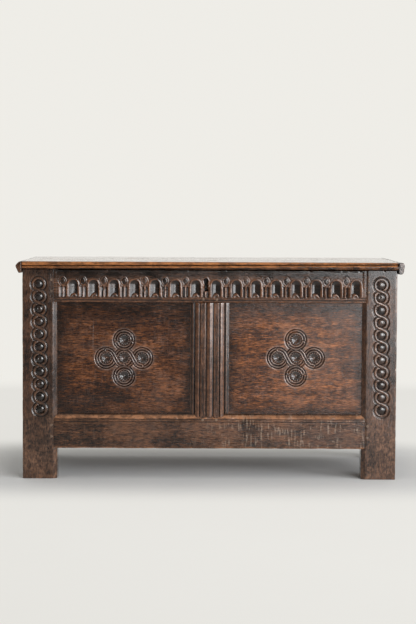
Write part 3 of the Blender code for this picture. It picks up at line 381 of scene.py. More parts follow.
def set_out(name, data):
    """A new object in the scene."""
    made = bpy.data.objects.new(name, data)
    bpy.context.scene.collection.objects.link(made)
    return made


def piece(name, shells, material, node=None, body=None):
    """Puts shells into one mesh at the origin, with its attributes, and sets it on its CAD body."""
    def joined(field):
        """One field of all the shells, end to end."""
        return np.concatenate([made[field] for made in shells])

    starts = np.cumsum([0] + [len(made["points"]) for made in shells])[:-1]
    quads = np.concatenate([made["quads"] + start for made, start in zip(shells, starts)])
    caps = [cap + start for made, start in zip(shells, starts) for cap in made["caps"]]
    sizes = np.array([4] * len(quads) + [len(cap) for cap in caps])
    corners = np.concatenate([quads.ravel(), *caps])
    points = (joined("points") * MM).astype(np.float32)
    mesh = bpy.data.meshes.new(name)
    mesh.vertices.add(len(points))
    mesh.loops.add(len(corners))
    mesh.polygons.add(len(sizes))
    mesh.vertices.foreach_set("co", points.ravel())
    mesh.loops.foreach_set("vertex_index", corners.astype(np.int32))
    mesh.polygons.foreach_set("loop_start", np.concatenate([[0], np.cumsum(sizes)[:-1]]).astype(np.int32))
    mesh.polygons.foreach_set("use_smooth", sizes == 4)
    mesh.update(calc_edges=True)
    mesh.validate()
    grain = (joined("grain") * MM).astype(np.float32)
    mesh.attributes.new("grain", "FLOAT_VECTOR", "POINT").data.foreach_set("vector", grain.ravel())
    for mask in ("hollow", "worn"):
        values = joined(mask).astype(np.float32)
        mesh.attributes.new(mask, "FLOAT", "POINT").data.foreach_set("value", values)
    mesh.materials.append(material)
    made = set_out(name, mesh)
    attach(made, body or frame["nodes"][node]["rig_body"])
    if node:
        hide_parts(node)


def timber(name, node, material, slot, *layout, **shape):
    """One board as a piece that stands for a CAD node."""
    piece(name, [board(*layout, **shape)], material, node)


# Carving


def boss_place(height, x, side):
    """Number of the nearest boss of a stile's row, and the place across and up from its middle."""
    down = GUILLOCHE_TOP - height
    number = np.clip(np.round(down / BOSS_PITCH), 0, BOSSES - 1)
    lean = GUILLOCHE_LEAN * down / (GUILLOCHE_TOP - GUILLOCHE_FOOT)
    across = x - side * GUILLOCHE_X - lean + 1.2 * (chance(number, side, 3) - 0.5)
    return number, across, number * BOSS_PITCH - down + 0 * x


def guilloche(side):
    """Depth of the carving down a front stile, as a function of (height, x).

    Round each boss two strands pass at a set swing, by a squared-off cosine, and cross half way to the next;
    the one from upper left to lower right is on top. A strand is a crowned band between V cuts. Inside it a
    domed boss stands in a moat, and a cut line follows the row outside, at an even distance from the nearest
    boss.
    """
    swing, square, band, cut, outline, moat_floor = 18.4, 1.6, 3.8, 2.6, 25.8, 6.0
    travel = np.linspace(-0.8, 0.8, 65)
    line = swing * np.tanh(square * np.cos(math.pi * travel)) / math.tanh(square)
    path = np.stack([line, travel * BOSS_PITCH], axis=1)

    def strand(distance, deepest):
        """Depth across a strand: a rounded crown, then a V cut outside it."""
        crown = 0.1 + 0.7 * (distance / band) ** 4
        return np.where(distance < band, crown, 1.0 + groove(distance - band - cut / 2, cut, deepest))

    def field(height, x):
        """Depth at a place of the stile."""
        number, across, up = boss_place(height, x, side)
        reach = np.hypot(across, up)
        right, left = nearest(across, up, path), nearest(-across, up, path)
        ring = np.abs(reach - swing)
        closing = ((number == 0) & (up > 0)) | ((number == BOSSES - 1) & (up < 0))
        over = np.where(closing, ring, np.where(up > 0, right, left))
        under = np.where(closing, ring, np.where(up > 0, left, right))
        level = groove(reach - outline, 2.8, 2.0) + 0.7 * (reach < outline)
        for distance, deepest in ((under, 3.0), (over, 2.2)):
            level = np.where(distance < band + cut, strand(distance, deepest), level)
        dome = 11.8 + 1.2 * chance(number, side, 7)
        crown = 0.6 + 4.0 * (1 - np.sqrt(np.clip(1 - (reach / dome) ** 2, 0, 1)))
        pitted = chance(number, side, 11) > 0.82
        crown += pitted * 2.2 * bump(np.hypot(across + 2, up - 1.5), 0, 2.8)
        moat = BOSS_MOAT + 0.8 * (noise(up / 6, across / 6, side + 9) - 0.5)
        level = np.where(reach < moat, np.where(reach < dome, crown, moat_floor), level)
        nick = 3.5 * bump(x, NICK_X, 2.4) * bump(height, RIM_Z, 3)
        edge = smooth(np.abs(x) - ARRIS_X, 1.5, 4) * smooth(OUTER_X - np.abs(x), 2, 5)
        return soften(level, 1) * edge + nick

    return field


def flute_place(x, height):
    """Place across and up from the foot of the nearest flute, and the distance from its arched middle."""
    number = np.clip(np.round((x - FIRST_FLUTE) / FLUTE_PITCH), 0, FLUTES - 1)
    drift = FLUTE_DRIFT * np.sin(math.pi * number / (FLUTES - 1)) + 1.4 * (chance(number, 1, 21) - 0.5)
    across = x - FIRST_FLUTE - number * FLUTE_PITCH - drift
    up = height - FRIEZE_Z
    arch = np.where(up < FLUTE_SPRING, np.abs(across), np.hypot(across, up - FLUTE_SPRING))
    return across, up, arch


def lunette_reach(across, up):
    """Distance from the foot of a flute, stretched so that a lunette is a little wider than a circle."""
    return np.hypot(0.86 * across, 0.80 * up)


def pillar_place(x, height):
    """Number of the nearest pillar, the place across from it, and the distance in from its bud's outline."""
    pillar = np.clip(np.round((x - FIRST_FLUTE) / FLUTE_PITCH + 0.5), 0, FLUTES - 1)
    drift = FLUTE_DRIFT * np.sin(math.pi * np.clip(pillar - 0.5, 0, None) / (FLUTES - 1))
    beside = x - FIRST_FLUTE - (pillar - 0.5) * FLUTE_PITCH - drift
    wide, tall, middle, power = 12.4, 16.5, FRIEZE_Z + 50.5, 1.6
    share = (np.abs(beside) / wide) ** power + (np.abs(height - middle) / tall) ** power
    return pillar, beside, wide * (1 - share ** (1 / power))


def frieze(x, height):
    """Depth of the carving along the front top rail, as a function of (x, height).

    Each flute is a scoop with a circular section inside its arched edge, with a small lunette at its foot.
    Between flutes a pillar follows a set profile, a reed sloped to one side between two troughs, under a flat
    bud whose outline lies between a diamond and an ellipse. Below runs a moulding of two beads, and the
    keyhole is sunk to within 2 mm of the rail's back.
    """
    x, height = np.broadcast_arrays(x, height)
    across, up, arch = flute_place(x, height)
    border, scoop = 20.0, 18.75
    level = np.sqrt(np.clip(scoop ** 2 - arch ** 2, 0, None)) - math.sqrt(scoop ** 2 - FLUTE_HALF ** 2)
    level = np.clip(level, 0, None) + groove(arch - border, 2.6, 1.7) * (up > 30)
    level += 0.5 * smooth(arch, border, border + 2)

    lunette = lunette_reach(across, up)
    hood = 1.6 + 1.2 * (lunette / 9.5) ** 2 + 2.0 * (1 - smooth(lunette, 3.2, 5.4))
    level = np.where((lunette < LUNETTE) & (arch < FLUTE_HALF), np.minimum(level, hood), level)

    pillar, beside, leaf = pillar_place(x, height)
    chipped = bump(up, 17 + 8 * chance(pillar, 2, 23), 2.5) * (chance(pillar, 4, 25) > 0.6)
    shaft = np.interp(beside, *np.array(PILLAR).T) + 2.6 * chipped * bump(beside, 0, 3)
    shaft *= 1 - smooth(up, PILLAR_TALL - 2, PILLAR_TALL)
    level = np.where((np.abs(beside) < PILLAR_HALF) & (up < PILLAR_TALL), shaft, level)

    bud = 2.2 * (1 - smooth(leaf, -0.2, 1.2)) * smooth(leaf, -2.2, -0.4) + 1.3 * bump(leaf, 4.4, 1.3)
    bud += 0.8 * (noise(x / 2.6, height / 2.6, 31) - 0.3) * smooth(leaf, 3, 4)
    level = np.where((leaf > -2) & (up > PILLAR_TALL + 1), np.maximum(bud, 0.2), level)

    level = level * smooth(up, 0, 0.8) + groove(up + 1.4, 3.4, 2.4) + groove(up + 9.6, 3.6, 3.2)
    level += 1.5 * ((up + 5.4) / 4.2) ** 2 * ((up < -1.2) & (up > -9.6))
    level += groove(height - RAIL_TOP + 6.5, 1.8, 0.5)
    level *= smooth(ARRIS_X - np.abs(x), 8, 11) * (up > 0) + (up <= 0)

    bow_z = KEYHOLE_TOP - KEYHOLE_BOW
    bow = np.hypot(x - KEYHOLE_X, height - bow_z)
    slot = np.maximum(np.abs(x - KEYHOLE_X) + 1.3, bow_z - KEYHOLE_HEIGHT + 2 * KEYHOLE_BOW - height)
    hole = KEYHOLE_BOW - np.where(height > bow_z, bow, np.minimum(bow, slot))
    ragged = 0.8 * (noise(x / 4, height / 4, 33) - 0.5)
    return np.maximum(soften(level, 2), (RAIL_DEPTH - 2) * smooth(hole + ragged, -0.6, 1.0))


def strand_path():
    """Centre-lines of the roundels' strap: rings, and pairs of S strands that cross between the level three.

    An S leaves one ring where the common tangent of the two rings touches it, runs straight across to the
    other side of the next ring, and follows an arc of each ring at its ends. The rings above and below close
    over the middle one. Returns the points of the rings with the strands that pass below, the strands that
    lie on top, and the rings' centres.
    """
    centres = np.array([(0, 0), (0, 1), (1, 0), (0, -1), (-1, 0)]) * ROUNDEL_PITCH
    touch = math.acos(2 * RING_RADIUS / ROUNDEL_PITCH)
    turn = np.linspace(touch, math.radians(86), 40)
    full = np.linspace(touch, 2 * math.pi - touch, 220)
    close = np.linspace(-1.2, 1.2, 80)
    below, above = [], []
    for way in ((1, 0), (0, 1), (-1, 0), (0, -1)):
        out, beside = np.array(way), np.array((-way[1], way[0]))
        hub = out * ROUNDEL_PITCH

        def arc(angle, hand=1):
            """Part of a ring round its own centre, from the outward way towards one side."""
            return RING_RADIUS * (np.outer(np.cos(angle), out) + hand * np.outer(np.sin(angle), beside))

        below.append(hub - arc(full))
        if way[0] == 0:
            above.append(hub - arc(close))
            continue
        for hand, layer in ((1, above), (-1, below)):
            bow = arc(turn, hand)
            layer.append(np.concatenate([bow, np.linspace(bow[0], hub - bow[0], 40), hub - bow]))
    return np.concatenate(below), above, centres


def roundels(hand):
    """Depth of the five roundels of a front panel, as a function of (x, height).

    A strap with two rounded ridges by a cosine follows the rings, and where level rings meet the S from upper
    left to lower right is cut in full over the other. Each ring holds a dish whose depth falls with a power
    of the radius, rippled into petals by the angle, a row of punched pits round it by the cosine of the
    angle, and a button in the middle.
    """
    line, tops, centres = strand_path()
    middle = ROUNDEL_CENTRES[hand]
    seed = 1 if hand == "left" else 2
    half, cut, button = 8.2, 2.0, 2.7

    def ridges(distance):
        """Depth across the strap: a groove in the middle and along each edge, with ridges between them."""
        return 0.2 + 4.4 * (0.5 + 0.5 * np.cos(2 * math.pi * distance / half)) ** 1.5

    def field(along, across):
        """Depth at a place of the panel, worked out only round the roundels."""
        level = np.zeros(np.broadcast(along, across).shape)
        rows = np.abs(along[:, 0] - middle[0]) < ROUNDELS_REACH
        columns = np.abs(across[0] - middle[1]) < ROUNDELS_REACH
        x, up = np.broadcast_arrays(along[rows] - middle[0], across[:, columns] - middle[1])
        part, outside = np.zeros(x.shape), np.full(x.shape, True)
        for number, centre in enumerate(centres):
            east, north = x - centre[0], up - centre[1]
            reach, angle = np.hypot(east, north), np.arctan2(north, east) + 6 * chance(number, seed, 41)
            dish = 2.4 + 5.6 * (1 - (reach / BOWL_RADIUS) ** 1.5)
            dish += 0.35 * np.cos(11 * angle) * smooth(reach, 4, 9)
            pit = (0.5 + 0.5 * np.cos(14 * angle)) ** 1.2 * bump(reach, 15.9, 2.2)
            form = np.where(reach < BOWL_RADIUS, dish, 1.4) + 4.4 * pit
            form = np.where(reach < button, 3.8 + 3.6 * (reach / button) ** 2, form)
            part = np.where(reach < RING_RADIUS, form, part)
            outside &= reach > RING_RADIUS
        distance = nearest(x, up, line)
        part = np.where(outside, 4.2 * np.clip(1 - (distance - half) / cut, 0, 1), part)
        for path_distance in (distance, *(nearest(x, up, path) for path in tops)):
            part = np.where(path_distance < half, ridges(path_distance), part)
        level[np.ix_(rows, columns)] = soften(part, 1)
        return level

    return field


def muntin_moulding(height, x):
    """Depth across the muntin: a middle bead, a quirk, a flat, a quirk, a quarter round, and an edge bead."""
    off = np.abs(x) + 0 * height
    bead, ovolo_start, ovolo_end, edge_bead = 9.6, 33.4, 46.8, 51
    level = np.where(off < bead, 3.6 * (off / bead) ** 2, 0.4)
    level += groove(off - 11.2, 4.4, 5.2) * (off > 9.2) + groove(off - QUIRKS[1], 4.6, 4.4)
    ovolo = np.clip((off - ovolo_start) / (ovolo_end - ovolo_start), 0, 1)
    level += 9.2 * (1 - np.sqrt(np.clip(1 - ovolo ** 2, 0, 1))) * (off < ovolo_end)
    level = np.where(off > ovolo_end, 9.4 + groove(off - QUIRKS[2], 3.6, 2.6), level)
    level += 3.0 * np.clip((off - edge_bead) / (MUNTIN_HALF - edge_bead), 0, 1) ** 2
    return soften(np.minimum(level, 12), 1)


def sill_lines(x, height):
    """Depth on the front bottom rail: two scratched lines under the slope and a hollow between them."""
    down = SILL_ARRIS - height + 0 * x
    level = groove(down - SILL_LINES[0], 3.4, 2.6) + groove(down - SILL_LINES[1], 3.2, 2.2)
    return level + 0.5 * bump(down, 7, 2.4)


# Shader node helpers


def feed(tree, node, values):
    """Gives a node's sockets their numbers, or links other nodes' sockets to them."""
    for name, value in values.items():
        if isinstance(value, bpy.types.NodeSocket):
            tree.links.new(value, node.inputs[name])
        else:
            node.inputs[name].default_value = value


def add_node(tree, kind, values=None, **settings):
    """A node with its settings; values are numbers for its sockets, or other nodes' sockets to link."""
    made = tree.nodes.new(kind)
    for name, value in settings.items():
        setattr(made, name, value)
    feed(tree, made, values or {})
    return made


def maths(tree, operation, first, second=0.0, third=0.0, clamp=False):
    """The result of one sum."""
    values = {0: first, 1: second, 2: third}
    return add_node(tree, "ShaderNodeMath", values, operation=operation, use_clamp=clamp).outputs[0]


def times(tree, first, second, clamp=False):
    """One value times another."""
    return maths(tree, "MULTIPLY", first, second, clamp=clamp)


def weighed(tree, total, *terms):
    """A start value plus each term's value times its weight."""
    for value, weight in terms:
        total = maths(tree, "MULTIPLY_ADD", value, weight, total)
    return total


def vector_maths(tree, operation, *values):
    """The outputs of one sum of vectors."""
    return add_node(tree, "ShaderNodeVectorMath", dict(enumerate(values)), operation=operation).outputs


def mix(tree, factor, first, second, mode="MIX"):
    """Two colours blended by a factor."""
    values = {0: factor, 6: first, 7: second}
    return add_node(tree, "ShaderNodeMix", values, data_type="RGBA", blend_type=mode).outputs[2]


def cloud(tree, vector, scale, detail=2.0, rough=0.5, distortion=0.0):
    """Noise from 0 to 1 in a vector that is first scaled along each axis."""
    scaled = vector_maths(tree, "MULTIPLY", vector, scale)[0]
    values = {"Vector": scaled, "Scale": 1.0, "Detail": detail, "Roughness": rough, "Distortion": distortion}
    return add_node(tree, "ShaderNodeTexNoise", values).outputs[0]


def spread(tree, value, start, end, low_value=0.0, high_value=1.0):
    """Maps a range of values smoothly to another, held at its ends."""
    values = {0: value, 1: start, 2: end, 3: low_value, 4: high_value}
    return add_node(tree, "ShaderNodeMapRange", values, interpolation_type="SMOOTHSTEP").outputs[0]


def figure(tree, vector, start, end, *shape):
    """Noise of a given scale and shape, spread to 0 at the start and 1 at the end."""
    return spread(tree, cloud(tree, vector, *shape), start, end)


def group(name, inputs, outputs):
    """An empty node group with named sockets, and the values that it is given."""
    tree = bpy.data.node_groups.new(name, "ShaderNodeTree")
    kinds = {"value": "NodeSocketFloat", "colour": "NodeSocketColor", "vector": "NodeSocketVector"}
    for way, sockets in (("INPUT", inputs), ("OUTPUT", outputs)):
        for socket, kind in sockets.items():
            tree.interface.new_socket(socket, in_out=way, socket_type=kinds[kind])
    return tree, add_node(tree, "NodeGroupInput").outputs


def make_grain_group():
    """Oak figure in board directions: streaks, broad bands, fibres, open pores and ray fleck."""
    outputs = dict.fromkeys(("Streaks", "Bands", "Fibres", "Pores", "Fleck"), "value")
    tree, given = group("oak_grain", {"Grain": "vector"}, outputs)
    grain = given["Grain"]
    wiggle = figure(tree, grain, 0.56, 0.66, (190, 24, 24), 0, 0.5, 0.5)
    broken = figure(tree, grain, 0.40, 0.58, (18, 40, 40), 3)
    add_node(tree, "NodeGroupOutput", {
        "Streaks": figure(tree, grain, 0.30, 0.70, (44, 280, 280), 4, 0.65, 0.8),
        "Bands": figure(tree, grain, 0.32, 0.68, (4, 24, 24), 4, 0.6, 1.0),
        "Fibres": figure(tree, grain, 0.30, 0.70, (60, 650, 650), 3, 0.65, 0.4),
        "Pores": figure(tree, grain, 0.60, 0.70, (75, 1500, 1500), 1),
        "Fleck": times(tree, wiggle, broken),
    })
    return tree


def make_polish_group():
    """Old wax and handling over the whole object: slow patches, finer mottle, and stray pale specks."""
    outputs = dict.fromkeys(("Patch", "Mottle", "Specks"), "value")
    tree, given = group("old_polish", {"Position": "vector"}, outputs)
    place = given["Position"]
    add_node(tree, "NodeGroupOutput", {
        "Patch": figure(tree, place, 0.34, 0.66, (7, 7, 9), 4, 0.6, 0.6),
        "Mottle": figure(tree, place, 0.32, 0.68, (55, 55, 75), 4, 0.65, 0.5),
        "Specks": figure(tree, place, 0.74, 0.80, (330, 330, 330), 1),
    })
    return tree


def make_handling_group():
    """Black wax settled in the hollows with painted shade, and wood rubbed lighter on what stands proud; both
    are burnished.
    """
    inputs = {"Colour": "colour", "Dirt": "colour", "Rubbed": "colour"}
    inputs |= dict.fromkeys(("Hollow", "Worn", "Mottle"), "value")
    tree, given = group("handling", inputs, {"Colour": "colour", "Burnish": "value", "Film": "value"})
    # The hollow mask carries dark wax and painted shade, so this darkening is both.
    dirt = times(tree, given["Hollow"], spread(tree, given["Mottle"], 0.30, 0.65, 0.75, 1.0), clamp=True)
    film = times(tree, given["Worn"], spread(tree, given["Mottle"], 0.35, 0.7, 0.45, 1.0), clamp=True)
    rub = times(tree, film, maths(tree, "SUBTRACT", 1.0, given["Hollow"], clamp=True))
    darkened = mix(tree, times(tree, dirt, 0.93), given["Colour"], given["Dirt"])
    add_node(tree, "NodeGroupOutput", {
        "Colour": mix(tree, times(tree, rub, 0.8), darkened, given["Rubbed"]),
        "Burnish": weighed(tree, rub, (dirt, 0.4)),
        "Film": film,
    })
    return tree


GRAIN, POLISH, HANDLING = make_grain_group(), make_polish_group(), make_handling_group()


def place_group(tree, made, values):
    """The outputs of a node group set into a material's tree."""
    return add_node(tree, "ShaderNodeGroup", values, node_tree=made).outputs


def ramp(tree, value, stops):
    """A colour ramp through (position, colour) stops."""
    made = add_node(tree, "ShaderNodeValToRGB", {0: value})
    bar = made.color_ramp
    while len(bar.elements) < len(stops):
        bar.elements.new(0.5)
    for element, (position, tint) in zip(bar.elements, stops):
        element.position = position
        element.color = tint
    return made.outputs[0]


def roughened(tree, height, strength, distance):
    """A normal tilted by a height."""
    values = {"Height": height, "Strength": strength, "Distance": distance * MM}
    return add_node(tree, "ShaderNodeBump", values).outputs[0]


def empty_material(name):
    """A material with only its shader and output, and the object's coordinates."""
    made = bpy.data.materials.new(name)
    made.use_nodes = True
    tree = made.node_tree
    return made, tree, tree.nodes["Principled BSDF"], add_node(tree, "ShaderNodeTexCoord").outputs["Object"]


# Near black for pores and for the hollow mask: dark wax, and painted shade in the carving's recesses.
WAX_AND_SHADE_BLACK = (0.0040, 0.0030, 0.0025, 1)
DUST = (0.020, 0.015, 0.011, 1)


def oak(name, browns, rubbed, dirt=WAX_AND_SHADE_BLACK, ray=None, rayed=None, rough=0.42, gleam=0.28, wax=0.0, polished=0.0,
        fleck=0.25, relief=0.35, patchy=0.40):
    """Waxed oak: streaked between three browns, dark in pores, dark in hollows by wax and painted shade,
    lighter where it is rubbed.
    """
    made, tree, shader, position = empty_material(name)

    def attribute(label, output="Fac"):
        """A value that the mesh carries."""
        return add_node(tree, "ShaderNodeAttribute", attribute_name=label).outputs[output]

    grain = place_group(tree, GRAIN, {"Grain": attribute("grain", "Vector")})
    polish = place_group(tree, POLISH, {"Position": position})
    streaks, fibres, pores = grain["Streaks"], grain["Fibres"], grain["Pores"]
    patch, mottle = polish["Patch"], polish["Mottle"]
    worn, even = attribute("worn"), 1 - patchy
    tone = weighed(tree, 0.0, (grain["Bands"], 0.24 * even), (streaks, 0.56 * even), (patch, patchy),
                   (mottle, 0.20 * even))
    wood = ramp(tree, tone, list(zip((0.27, 0.50, 0.75), browns)))
    rays = times(tree, grain["Fleck"], fleck)
    if rayed:
        along = add_node(tree, "ShaderNodeSeparateXYZ", {0: position}).outputs["X"]
        rays = times(tree, rays, spread(tree, along, *rayed, 0.12, 1.0))
    wood = mix(tree, rays, wood, ray or rubbed)
    wood = mix(tree, 1.0, wood, weighed(tree, 0.4, (fibres, 1.2)), "MULTIPLY")
    wood = mix(tree, times(tree, pores, 0.7), wood, dirt)
    handled = place_group(tree, HANDLING, {
        "Colour": wood, "Hollow": attribute("hollow"), "Worn": worn, "Mottle": mottle, "Dirt": dirt,
        "Rubbed": rubbed,
    })
    gloss = weighed(tree, rough - 0.16, (fibres, 0.16), (patch, 0.16), (handled["Burnish"], -0.16))
    height = weighed(tree, 0.0, (streaks, 0.35), (fibres, 0.3), (pores, -0.35), (mottle, 0.25))
    feed(tree, shader, {
        "Base Color": mix(tree, times(tree, polish["Specks"], 0.35), handled["Colour"], rubbed),
        "Specular IOR Level": gleam,
        "Roughness": maths(tree, "MAXIMUM", gloss, 0.14),
        "Normal": roughened(tree, height, relief, 0.5),
    })
    if wax:
        film = spread(tree, maths(tree, "ADD", mottle, streaks), 0.2, 0.7, 0.25 * wax, wax)
        kept = maths(tree, "MULTIPLY_ADD", worn, -1.6, 1.0, clamp=True)
        feed(tree, shader, {"Coat Roughness": 0.10, "Coat Weight": times(tree, film, kept)})
    elif polished:
        film = times(tree, handled["Film"], polished, clamp=True)
        feed(tree, shader, {"Coat Roughness": 0.15, "Coat Weight": film})
    return made


def forged_iron(name):
    """Forged iron: near black scale with rust in patches, dull and slightly dimpled by the hammer."""
    made, tree, shader, position = empty_material(name)
    patch = cloud(tree, position, (60, 60, 60), 5, 0.65, 0.5)
    fine = cloud(tree, position, (500, 500, 500), 3, 0.6)
    rust = spread(tree, weighed(tree, patch, (fine, 0.25)), 0.58, 0.78)
    scale = mix(tree, patch, (0.040, 0.037, 0.036, 1), (0.125, 0.115, 0.108, 1))
    cells = {"Vector": position, "Scale": 150.0}
    dimples = add_node(tree, "ShaderNodeTexVoronoi", cells, feature="SMOOTH_F1").outputs[0]
    feed(tree, shader, {
        "Base Color": mix(tree, rust, scale, (0.150, 0.062, 0.027, 1)),
        "Metallic": spread(tree, rust, 0.0, 1.0, 0.70, 0.05),
        "Roughness": weighed(tree, 0.38, (fine, 0.2), (rust, 0.30)),
        "Normal": roughened(tree, weighed(tree, dimples, (fine, 0.35)), 0.4, 0.6),
    })
    return made


FRAME_OAK = oak(
    "frame_oak", ((0.0115, 0.0070, 0.0050, 1), (0.044, 0.0215, 0.0130, 1), (0.100, 0.0420, 0.0195, 1)),
    (0.180, 0.068, 0.027, 1), rough=0.24, gleam=0.40, polished=1.1, fleck=0.12, relief=0.2, patchy=0.30)
STILE_OAK = oak(
    "stile_oak", ((0.0085, 0.0052, 0.0038, 1), (0.032, 0.0156, 0.0098, 1), (0.074, 0.0315, 0.0155, 1)),
    (0.165, 0.074, 0.034, 1), rough=0.24, gleam=0.40, polished=1.3, fleck=0.10, relief=0.2, patchy=0.30)
# The sill's bright rubbed colour is wear, and painted light on its up-facing slope.
SILL_OAK = oak(
    "sill_oak", ((0.0110, 0.0062, 0.0042, 1), (0.049, 0.0212, 0.0110, 1), (0.104, 0.0425, 0.0182, 1)),
    (0.330, 0.150, 0.072, 1), ray=(0.310, 0.230, 0.170, 1), rayed=(-0.08, 0.14), rough=0.26, gleam=0.38,
    fleck=0.40, relief=0.25, patchy=0.25)
# The front panels' oaks are a lighter copy, right, and a darker one, left: the wood differs, and they also
# carry painted light on the right and painted shade on the left. Their pale grey rubbed colours are wear and
# a painted sheen on the roundels' ridges.
PANEL_OAK = oak(
    "panel_oak", ((0.0240, 0.0085, 0.0040, 1), (0.100, 0.0335, 0.0112, 1), (0.260, 0.0860, 0.0230, 1)),
    (0.300, 0.225, 0.190, 1), rough=0.26, gleam=0.38, polished=2.0, fleck=0.06, relief=0.2, patchy=0.16)
DARK_AND_SHADED_PANEL_OAK = oak(
    "dark_and_shaded_panel_oak", ((0.0150, 0.0058, 0.0032, 1), (0.064, 0.0218, 0.0080, 1), (0.165, 0.0560, 0.0165, 1)),
    (0.240, 0.180, 0.155, 1), rough=0.26, gleam=0.38, polished=1.6, fleck=0.06, relief=0.2, patchy=0.20)
# The lid's browns are lighter than the frame's: its own tone, and painted light on its up-facing moulded
# edge.
LID_OAK = oak(
    "lid_oak", ((0.022, 0.0100, 0.0052, 1), (0.130, 0.046, 0.0150, 1), (0.340, 0.120, 0.034, 1)),
    (0.400, 0.155, 0.050, 1), rough=0.34, gleam=0.34, wax=1.0, fleck=0.10, relief=0.25, patchy=0.18)
BACK_OAK = oak(
    "back_oak", ((0.052, 0.032, 0.020, 1), (0.145, 0.088, 0.052, 1), (0.235, 0.148, 0.088, 1)),
    (0.270, 0.180, 0.115, 1), rough=0.62, fleck=0.30, relief=0.6, patchy=0.24)
FLOOR_OAK = oak(
    "floor_oak", ((0.050, 0.033, 0.022, 1), (0.125, 0.084, 0.052, 1), (0.190, 0.130, 0.080, 1)),
    (0.230, 0.165, 0.110, 1), DUST, rough=0.74, fleck=0.30, relief=0.7)
PEG_OAK = oak(
    "peg_oak", ((0.020, 0.014, 0.010, 1), (0.070, 0.044, 0.030, 1), (0.130, 0.082, 0.054, 1)),
    (0.190, 0.125, 0.085, 1), rough=0.5, fleck=0.0)
IRON = forged_iron("iron")


# Carcase


def make_front_stiles():
    """Front stiles: a carved face, a chamfer along the panel side and feet at the floor."""
    right = [
        (ARRIS_X, 0, 0.5, FINE, "face"), (OUTER_X, 0, 2.2, 6), (OUTER_X, STILE_DEPTH, 1.2, 8),
        (INNER_X, STILE_DEPTH, 1.0, 6), (INNER_X, CHAMFER_DEPTH, 0.6, 2),
    ]

    def from_boss(height, x):
        """Distance from the middle of the nearest boss."""
        return np.hypot(*boss_place(height, x, np.sign(x))[1:])

    def worn_foot(height, across, depth):
        """Feet rubbed and kicked pale in fine streaks, up past the bottom rail, and polish on the bosses."""
        patch = (0.3 + 0.7 * noise(height / 60, across / 30, 17)) * noise(height / 8, across / 2.6, 18)
        boss = 0.6 * (from_boss(height, across) < BOSS_MOAT) * (depth < 5.5)
        return np.maximum(1.5 * patch * (1 - smooth(height, 80, 300)), boss)

    def beside_panel(height, across, depth):
        """Full wear, but little on the chamfer's edges beside the panels, and none under the rails."""
        covered = abs(across) < ARRIS_X + 1 and depth < CHAMFER_DEPTH + 1
        return 0.2 * within(height, SILL_TOP, RAIL_FOOT, 6, 6) if covered else 1.0

    def closed_joints(height, across, depth):
        """Beside the rails the face falls to theirs and its arris stands in, so that the joints close."""
        beside = (height > RAIL_FOOT) | ((height > SILL_FOOT) & (height < SILL_ARRIS))
        near = (np.abs(across) < ARRIS_X + 0.6) & (depth < 0.7)
        width = np.where(across < 0, 14, 4)
        fall = (RAIL_FACE - FRONT_Y) * (1 - smooth(np.abs(across), ARRIS_X, ARRIS_X + width))
        moved = across - np.sign(across) * 1.4 * (beside & near)
        return height, moved, depth + fall * (beside & (depth < 3))

    def lid_shadow_and_dirt(height, across, depth):
        """Painted shadow under the overhang of the lid, dark wax on the bosses with painted shade in their
        moats, and dirt over the carving, with painted shade making it darker on the left stile.
        """
        patch = 0.5 + 0.7 * noise(height / 20, across / 15, 19)
        reach = from_boss(height, across)
        # Painted shade: the left stile's carving is darker, as the side away from the light.
        ground = np.where(across < 0, 0.40, 0.12)
        carved = ground * (1 - smooth(reach, 27, 32)) + 0.85 * (reach < BOSS_MOAT)
        # Painted shadow of the lid's overhang.
        under_lid = 0.75 * smooth(height, RIM_Z - 34, RIM_Z - 6)
        return np.clip(np.maximum(under_lid, carved) * patch, 0, 1) * (depth < 7)

    for side, hand, seed in ((-1, "left", 11), (1, "right", 12)):
        section = right if side > 0 else mirrored(right)
        timber(f"carved_{hand}_stile", f"front_{hand}_stile", STILE_OAK, "frame_oak",
               ("Z", "X", "+Y", FRONT_Y), (0, RIM_Z), FINE, section, guilloche(side), warp=closed_joints,
               grime=lid_shadow_and_dirt, rubbed=worn_foot, exposed=beside_panel, seed=seed, end_round=2.8, bared=0.8)


def groove_sides(setback):
    """Depths of the two sides of a groove, for a panel that stands back from the face of its frame."""
    return setback - FIT, setback + PANEL_EDGE + FIT


def panel_groove(edge, way, sides):
    """Corners of a panel groove in an edge; way is 1 or -1, the way across that leads into the wood."""
    end, start = sides[::way]
    floor = edge + way * GROOVE_DEPTH
    return [(edge, start, 0, 4), (floor, start, 0, 4), (floor, end, 0, 4), (edge, end, 0, 3)]


def over_chamfer(along, across, depth):
    """Draws a rail's ends in with depth, so that its shoulders lie on the chamfers of the stiles."""
    behind = np.clip(depth + RAIL_FACE - FRONT_Y, 0, None)
    shoulder = ARRIS_X - 2 * FIT
    end = np.maximum(shoulder - CHAMFER_WIDTH / CHAMFER_DEPTH * behind, INNER_X - FIT)
    return along * end / shoulder, across, depth


FRONT_RAIL = ("X", "Z", "+Y", RAIL_FACE)
FRONT_REACH = (-(ARRIS_X - 2 * FIT), ARRIS_X - 2 * FIT)
FRONT_GROOVE = groove_sides(low("front_left_panel", "Y") - RAIL_FACE)


